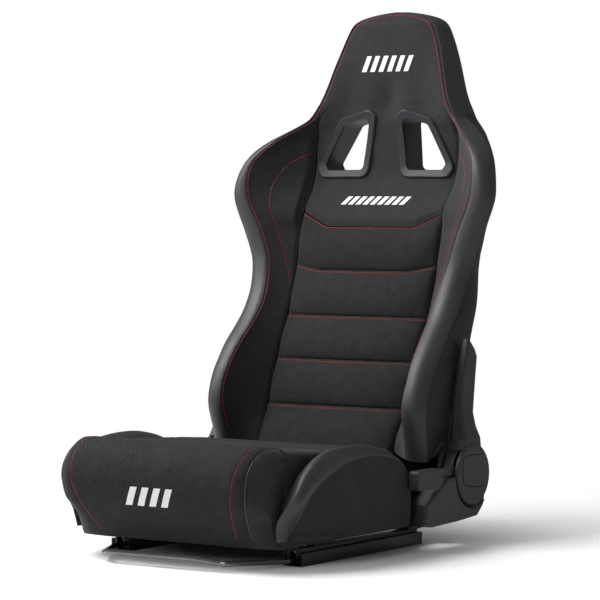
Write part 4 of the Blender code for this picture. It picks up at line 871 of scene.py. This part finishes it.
rollShape = {
    "outline": [
        (-.060, .2075), (-.080, .2105), (-.099, .2120), (-.113, .2085), (-.124, .202), (-.137, .1935),
        (-.146, .184), (-.153, .173), (-.157, .162), (-.159, .146), (-.157, .134), (-.154, .122),
        (-.149, .110), (-.142, .098), (-.134, .086), (-.124, .074), (-.115, .063), (-.106, .053),
        (-.096, .0425), (-.085, .0375), (-.076, .0370), (-.0680, .0385), (-.0675, .0503),
        (-.0605, .0503)],
    "seamLine": [(.056, .145), (.070, .150), (.084, .154), (.098, .158), (.113, .162), (.129, .166),
                 (.146, .170), (.162, .172), (.178, .174), (.192, .176), (.202, .177)],
    "half": .213, "edge": .018, "columns": 171, "around": 110, "crowding": 1.6,
    "draw": (.030, .74, 2.6), "drawDown": .35,       # how the ends draw back and down, and from where
    "joint": (-.085, -.060), "under": (.074, .110), "upper": (.12, .20), "crown": (.165, .200),
    "lip": -.0675, "lipDraw": 20, "narrowing": .035,
    "meshEdge": .029, "clothLeast": .014, "lineEnds": (-.064, .052),
    "wrinkle": (.0012, .06), "welt": (.0018, .003, .0009), "stitch": (.0010, .003),
    "print": {"width": .100, "height": .040, "count": 4, "fill": .55, "lean": .45, "centre": .116,
              "depth": lambda x, z: -.160},
}


def rollSeam(z, grow):        # half width of the stitch line, or of the welt beyond it
    shape = rollShape
    return min(lineAt(shape["seamLine"], z) + grow, shape["half"] - shape["clothLeast"])


def buildRoll():
    shape = rollShape
    half, edge, lip = shape["half"], shape["edge"], shape["lip"]
    most, start, power = shape["draw"]
    rows = []
    for j in range(shape["columns"]):
        u = towardsEdges(j, shape["columns"], shape["crowding"])
        over = max(0, abs(u) * half - half + edge)
        fall = edge - math.sqrt(edge**2 - min(over, edge)**2)
        draw = most * max(0, (abs(u) - start) / (1 - start))**power
        row = []
        for k in range(shape["around"] + 1):
            y, z = throughPoints(shape["outline"], k / shape["around"])
            ahead = 1 - blendStep(*shape["joint"], y)
            low = 1 - blendStep(*shape["under"], z)
            pulled = min(y + draw * ahead, shape["joint"][1])
            tucked = y if y > lip - .001 else lip + (y - lip) * (1 - draw * shape["lipDraw"])
            z -= (draw * shape["drawDown"] * blendStep(*shape["upper"], z) * ahead
                  + fall * blendStep(*shape["crown"], z))
            row.append((u * half * (1 - shape["narrowing"] * low), mix(pulled, tucked, low), z))
        rows.append(row)
    obj = loft("cushionFrontRoll", rows, [mesh, cloth], sharpAt=60)
    for polygon in obj.data.polygons:
        x, y, z = polygon.center
        if abs(x) > rollSeam(z, shape["meshEdge"]):
            polygon.material_index = 1
    ripple(obj, *shape["wrinkle"], 4)
    stitches, seams = [], []
    places = curvePlaces(shape["outline"], len(shape["outline"]) * 8)
    front, foot = shape["lineEnds"]
    for side in (-1, 1):
        for grow, into in ((0, stitches), (shape["meshEdge"], seams)):
            line = [(side * rollSeam(z, grow), y + depthShift, z) for y, z in places
                    if y < front and z > foot]
            into.append(nearSurface(obj, line, laid["stitches"]))
    depth, width, radius = shape["welt"]
    for line in seams:
        sinkAlong(obj, line, depth, width)
    for line in stitches:
        sinkAlong(obj, line, *shape["stitch"])
    dress(obj, "cushion_front_roll", "seat_base")
    sew("rollStitches", stitches, obj, "seat_base")
    # grey cords along the roll's seams: painted highlight
    bead("rollWelt", seams, obj, radius, highlightCord, "seat_base", laid["rollWelt"])
    printBars("rollPrint", obj, shape["print"], "seat_base")
    print("front roll built")


padShape = {
    "top": [(-.0595, .206), (-.020, .202), (.040, .197), (.090, .194), (.137, .191), (.190, .188),
            (.240, .184), (.275, .181), (.306, .177), (.322, .171), (.334, .161), (.341, .148),
            (.3427, .125), (.343, .062), (.339, .0503)],
    "half": .213, "rearHalf": .146, "waist": (.268, .274), "edge": .018, "roundness": .4,
    "seams": (-.0595, .060, .180), "seamSink": (.003, .004), "seamEnd": .30,
    "bottom": .0502, "rear": .343, "corner": 8, "flat": 40, "rows": 120,
}


def buildPad():
    shape = padShape
    corner, flat, bottom = shape["corner"], shape["flat"], shape["bottom"]
    depth, width = shape["seamSink"]
    rows = []
    for j in range(shape["rows"] - 1):
        y, z = throughPoints(shape["top"], j / (shape["rows"] - 1))
        half = shape["half"] - (shape["half"] - shape["rearHalf"]) * blendStep(*shape["waist"], y)
        seam = min(abs(y - place) for place in shape["seams"])
        sink = depth * falloff(seam, width) if y < shape["seamEnd"] else 0
        radius = min(shape["edge"], (z - bottom) * shape["roundness"])
        inner = half - radius
        row = []
        for k in range(corner + 1):
            angle = math.pi / 2 * k / corner
            row.append((-inner - radius * math.cos(angle), z - radius + radius * math.sin(angle)))
        row += [(inner * (2 * k / flat - 1), z) for k in range(1, flat)]
        row += [(-x, h) for x, h in reversed(row[:corner + 1])]
        row = [(x, min(y, shape["rear"]), h - sink) for x, h in row]
        rows.append(row + [(x, y, bottom) for x, y, h in reversed(row)])
    lastMesh = flat + corner + 1
    obj = loft("cushionPad", rows, [mesh, cloth], lambda i, j: 0 if corner - 2 < i < lastMesh else 1, 60)
    dress(obj, "cushion_pad", "seat_base")
    print("pad built")


bolsterShape = {              # (half width, depth, height) from the front tip to the rear
    "crest": [(.197, -.086, .051), (.221, -.091, .090), (.245, -.080, .130), (.245, -.046, .166),
              (.245, .005, .194), (.245, .070, .202), (.245, .133, .200), (.245, .197, .186),
              (.245, .243, .161), (.245, .259, .134)],
    "seam": [(.215, -.058, .051), (.230, -.060, .078), (.250, -.060, .108), (.258, -.032, .141),
             (.262, .014, .164), (.262, .060, .179), (.262, .123, .183), (.262, .170, .179),
             (.262, .219, .165), (.262, .250, .136)],
    "inner": .2133, "tuck": .0065, "tuckEnds": (.055, .100), "crestLeast": .006, "seamLeast": .010,
    "rows": 90, "top": 28, "side": 14, "foot": (-.058, .250), "bottom": .0503,
    "archOut": .006, "seamSink": (.0020, .003), "sideSwell": .003, "sideSink": (.0016, .003),
    "wrinkle": (.0008, .05), "weltStart": .04, "grooveShadeRadius": .0009,
}


def bolsterRow(s):
    # one section, s from 0 at the front tip to 1 at the rear: leather top, cloth side, bottom corner
    shape = bolsterShape
    c, m = Vector(throughPoints(shape["crest"], s)), Vector(throughPoints(shape["seam"], s))
    wall = shape["inner"] - shape["tuck"] * (1 - blendStep(*shape["tuckEnds"], c.z))
    c.x = max(c.x, wall + shape["crestLeast"])
    m.x = max(m.x, wall + shape["seamLeast"])
    start = Vector((wall, mix(c.y, m.y, .55), max(.052, mix(c.z, m.z, .55) - .004)))
    # the arch over the top: up the inner wall, over the crest and down to the side's seam
    arch = [start, start.lerp(c, .55) + (c - m) * .14, c + (c - m) * .02,
            c.lerp(m, .45) + (c - m) * .04, m]
    arch[3].x += shape["archOut"]
    row = []
    depth, width = shape["seamSink"]
    for k in range(shape["top"]):
        t = k / shape["top"]
        place = Vector(throughPoints([tuple(p) for p in arch], t))
        place.x = max(place.x, wall)
        place.x -= depth * falloff((1 - t) * (c - m).length * 2, width)
        row.append(place)
    foot = Vector((m.x, mix(*shape["foot"], s), shape["bottom"]))
    depth, width = shape["sideSink"]
    for t in spaced(0, 1, shape["side"]):
        place = m.lerp(foot, t)
        place.x += shape["sideSwell"] * math.sin(math.pi * min(1, t * 1.02))**.7
        place.x -= depth * falloff(t * (m - foot).length, width)
        row.append(place)
    row.append(Vector((wall, foot.y, shape["bottom"])))
    return [(p.x, p.y, max(p.z, shape["bottom"])) for p in row]


def buildBolster(side, name, node):
    shape = bolsterShape
    rows = [[(side * x, y, z) for x, y, z in bolsterRow(s)] for s in spaced(0, 1, shape["rows"])]
    firstSide, firstUnder = shape["top"], shape["top"] + shape["side"] - 1
    obj = loft(name, rows, [leather, cloth, liningAndPaintedShade],
               lambda i, j: 0 if i < firstSide else (1 if i < firstUnder else 2), 60)
    ripple(obj, *shape["wrinkle"], 9 + side)
    dress(obj, node, "seat_base")
    line = [(side * x, y + depthShift, z)
            for x, y, z in curvePlaces(shape["seam"], 120, shape["weltStart"])]
    # grey cord along the side's seam: painted highlight
    bead(name + "Welt", [line], obj, shape["grooveShadeRadius"], highlightCord, "seat_base")


capShape = {
    "centre": (.435, .126), "radius": .0552, "wall": .016, "swell": .005, "step": .001,
    "inside": .2370, "outside": .2466, "turn": (92, 192), "steps": 41, "swellSteps": 28, "face": .2841,
    "groove": [(.464, .161), (.440, .1615), (.412, .1610), (.401, .1585), (.3965, .152), (.3955, .134),
               (.397, .118), (.402, .111), (.420, .1055), (.442, .1035), (.466, .1030)],
    "grooveRadius": .0006,
}


def buildCaps():
    # a sleeve behind each recliner's cap, between it and the wing, and the line moulded in its face,
    # drawn as a thin black cord: painted shade in the groove
    shape = capShape
    inside, outside = shape["inside"], shape["outside"]
    for side, name in sides:
        rows = []
        for k, degrees in enumerate(spaced(*shape["turn"], shape["steps"])):
            angle = math.radians(degrees)
            swell = shape["swell"] * math.sin(math.pi * min(1, k / shape["swellSteps"]))**2
            outer = shape["radius"] + swell
            inner = outer - shape["wall"]
            section = ((outer, inside + shape["step"]), (outer, outside), (inner, outside),
                       (inner, inside), (outer - shape["step"], inside))
            rows.append([(side * x, shape["centre"][0] + radius * math.cos(angle),
                          shape["centre"][1] + radius * math.sin(angle)) for radius, x in section])
        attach(loft("capSleeve" + name, rows, [coverPlastic], sharpAt=35), "backrest")
        line = [(side * shape["face"], y + depthShift, z) for y, z in curvePlaces(shape["groove"], 120)]
        bead("capLine" + name, [line], None, shape["grooveRadius"], liningAndPaintedShade)


cornerShadeShape = {
    "inner": .2440, "outer": .2455, "front": .2515, "rear": .325, "heights": (.0525, .085, .118),
}


def buildCornerShade():
    # black sheets closing the cushion's rear corners, ahead of the recliners: painted shade behind the
    # bolsters
    shape = cornerShadeShape
    corners = [(shape["inner"], shape["front"]), (shape["outer"], shape["front"]),
               (shape["outer"], shape["rear"]), (shape["inner"], shape["rear"])]
    for side, name in sides:
        rows = [[(side * x, y, z) for x, y in corners] for z in shape["heights"]]
        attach(loft("cushionTail" + name, rows, [liningAndPaintedShade]), "seat_base")


print("sizes and materials ready")
buildInsert()
for side, name in sides:
    buildWing(side, "wing" + name, "back_wing_" + name.lower())
print("wings built")
buildHeadrest()
buildRearPanel()
buildRoll()
buildPad()
for side, name in sides:
    buildBolster(side, "bolster" + name, "cushion_bolster_" + name.lower())
print("bolsters built")
buildCaps()
buildCornerShade()
print("caps and tails built")

slotFinish = {                # the hard parts keep their solids and get their finishes here
    "rail_paint": railPaint, "frame_paint": framePaint, "bearing_steel": bearingSteel,
    "zinc_plate": zinc, "moulded_plastic": coverPlastic, "bar_chrome": chrome,
}
for name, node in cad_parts.items():
    if node.hide_render:
        continue
    for index, slot in enumerate(node.material_slots):
        for key, material in slotFinish.items():
            if slot.material and slot.material.name.startswith(key):
                finish = bezelPlastic if "bezel" in name or "rim" in name else material
                node.data.materials[index] = finish
print("hard parts finished")

studio = {
    "floorSize": 60, "near": .5, "far": 1.3,  # the floor turns plain white between these distances
    "lift": .38, "lifted": (.18, .62),        # a glow that lightens the shadow outside the seat
    "ambient": .15, "aim": (0, .1, .45),
    "boxes": {"key": ((1.8, 1.3), 92, (-1.2, -1.1, 2.7)), "left": ((1.2, 1.4), 24, (-2.2, -.5, 1.6)),
              "right": ((.7, 1.6), 2, (1.7, 1.5, 1.2)), "front": ((.9, .9), 15, (.45, -3.3, 1.6))},
}
view = {"lens": 174, "sensor": 36, "place": (2.94818, -4.29773, .65374),
        "tilt": 87.653, "turn": 34.17}
white = srgb("#ffffff")


def softBox(name, size, power, place):
    light = bpy.data.lights.new(name, "AREA")
    light.shape, light.size, light.size_y = "RECTANGLE", size[0], size[1]
    light.energy = power
    obj = placeObject(name, light)
    obj.location = place
    obj.rotation_euler = (Vector(studio["aim"]) - Vector(place)).to_track_quat("-Z", "Y").to_euler()


def whitePaper():
    # shows the shadow near the seat and is plain white further out
    paper, tree, shader = newMaterial("whitePaper", "#f4f4f4", .9, Specular_IOR_Level=.1)
    shader.inputs["Emission Color"].default_value = white
    ray = addNode(tree, "ShaderNodeLightPath")
    place = addNode(tree, "ShaderNodeTexCoord")
    distance = addNode(tree, "ShaderNodeVectorMath", {"operation": "LENGTH"},
                       {"Vector": place.outputs["Object"]})
    low, high = studio["lifted"]
    outside = addNode(tree, "ShaderNodeMapRange",
                      {"From Min": low, "From Max": high, "To Max": studio["lift"],
                       "interpolation_type": "SMOOTHSTEP"}, {"Value": distance.outputs["Value"]})
    away = addNode(tree, "ShaderNodeMapRange", {"From Min": studio["near"], "From Max": studio["far"]},
                   {"Value": distance.outputs["Value"]})
    lift, share = [addNode(tree, "ShaderNodeMath", {"operation": "MULTIPLY"},
                           {0: ray.outputs["Is Camera Ray"], 1: ramp}) for ramp in (outside, away)]
    tree.links.new(lift.outputs[0], shader.inputs["Emission Strength"])
    glow = addNode(tree, "ShaderNodeEmission", {"Strength": 1})
    both = addNode(tree, "ShaderNodeMixShader", links={"Fac": share, 1: shader, 2: glow})
    tree.links.new(both.outputs["Shader"], tree.nodes["Material Output"].inputs["Surface"])
    return paper


def buildStudio():
    half = studio["floorSize"] / 2
    data = bpy.data.meshes.new("floor")
    data.from_pydata([(-half, -half, 0), (half, -half, 0), (half, half, 0), (-half, half, 0)], [],
                     [(0, 1, 2, 3)])
    data.materials.append(whitePaper())
    placeObject("floor", data)
    world = bpy.data.worlds.new("studio")
    bpy.context.scene.world = world
    world.use_nodes = True
    tree = world.node_tree
    ray = addNode(tree, "ShaderNodeLightPath")
    seen = addNode(tree, "ShaderNodeMath", {"operation": "MAXIMUM"},
                   {0: ray.outputs["Is Camera Ray"], 1: ray.outputs["Is Transmission Ray"]})
    level = addNode(tree, "ShaderNodeMapRange", {"To Min": studio["ambient"], "To Max": 1},
                    {"Value": seen})
    tree.links.new(level.outputs[0], tree.nodes["Background"].inputs["Strength"])
    tree.nodes["Background"].inputs["Color"].default_value = white
    for name, box in studio["boxes"].items():
        softBox(name, *box)


buildStudio()
camera = placeObject("camera", bpy.data.cameras.new("camera"))
camera.data.lens, camera.data.sensor_width = view["lens"], view["sensor"]
camera.location = view["place"]
camera.rotation_euler = (math.radians(view["tilt"]), 0, math.radians(view["turn"]))
bpy.context.scene.camera = camera
bpy.context.scene.view_settings.view_transform = "Standard"
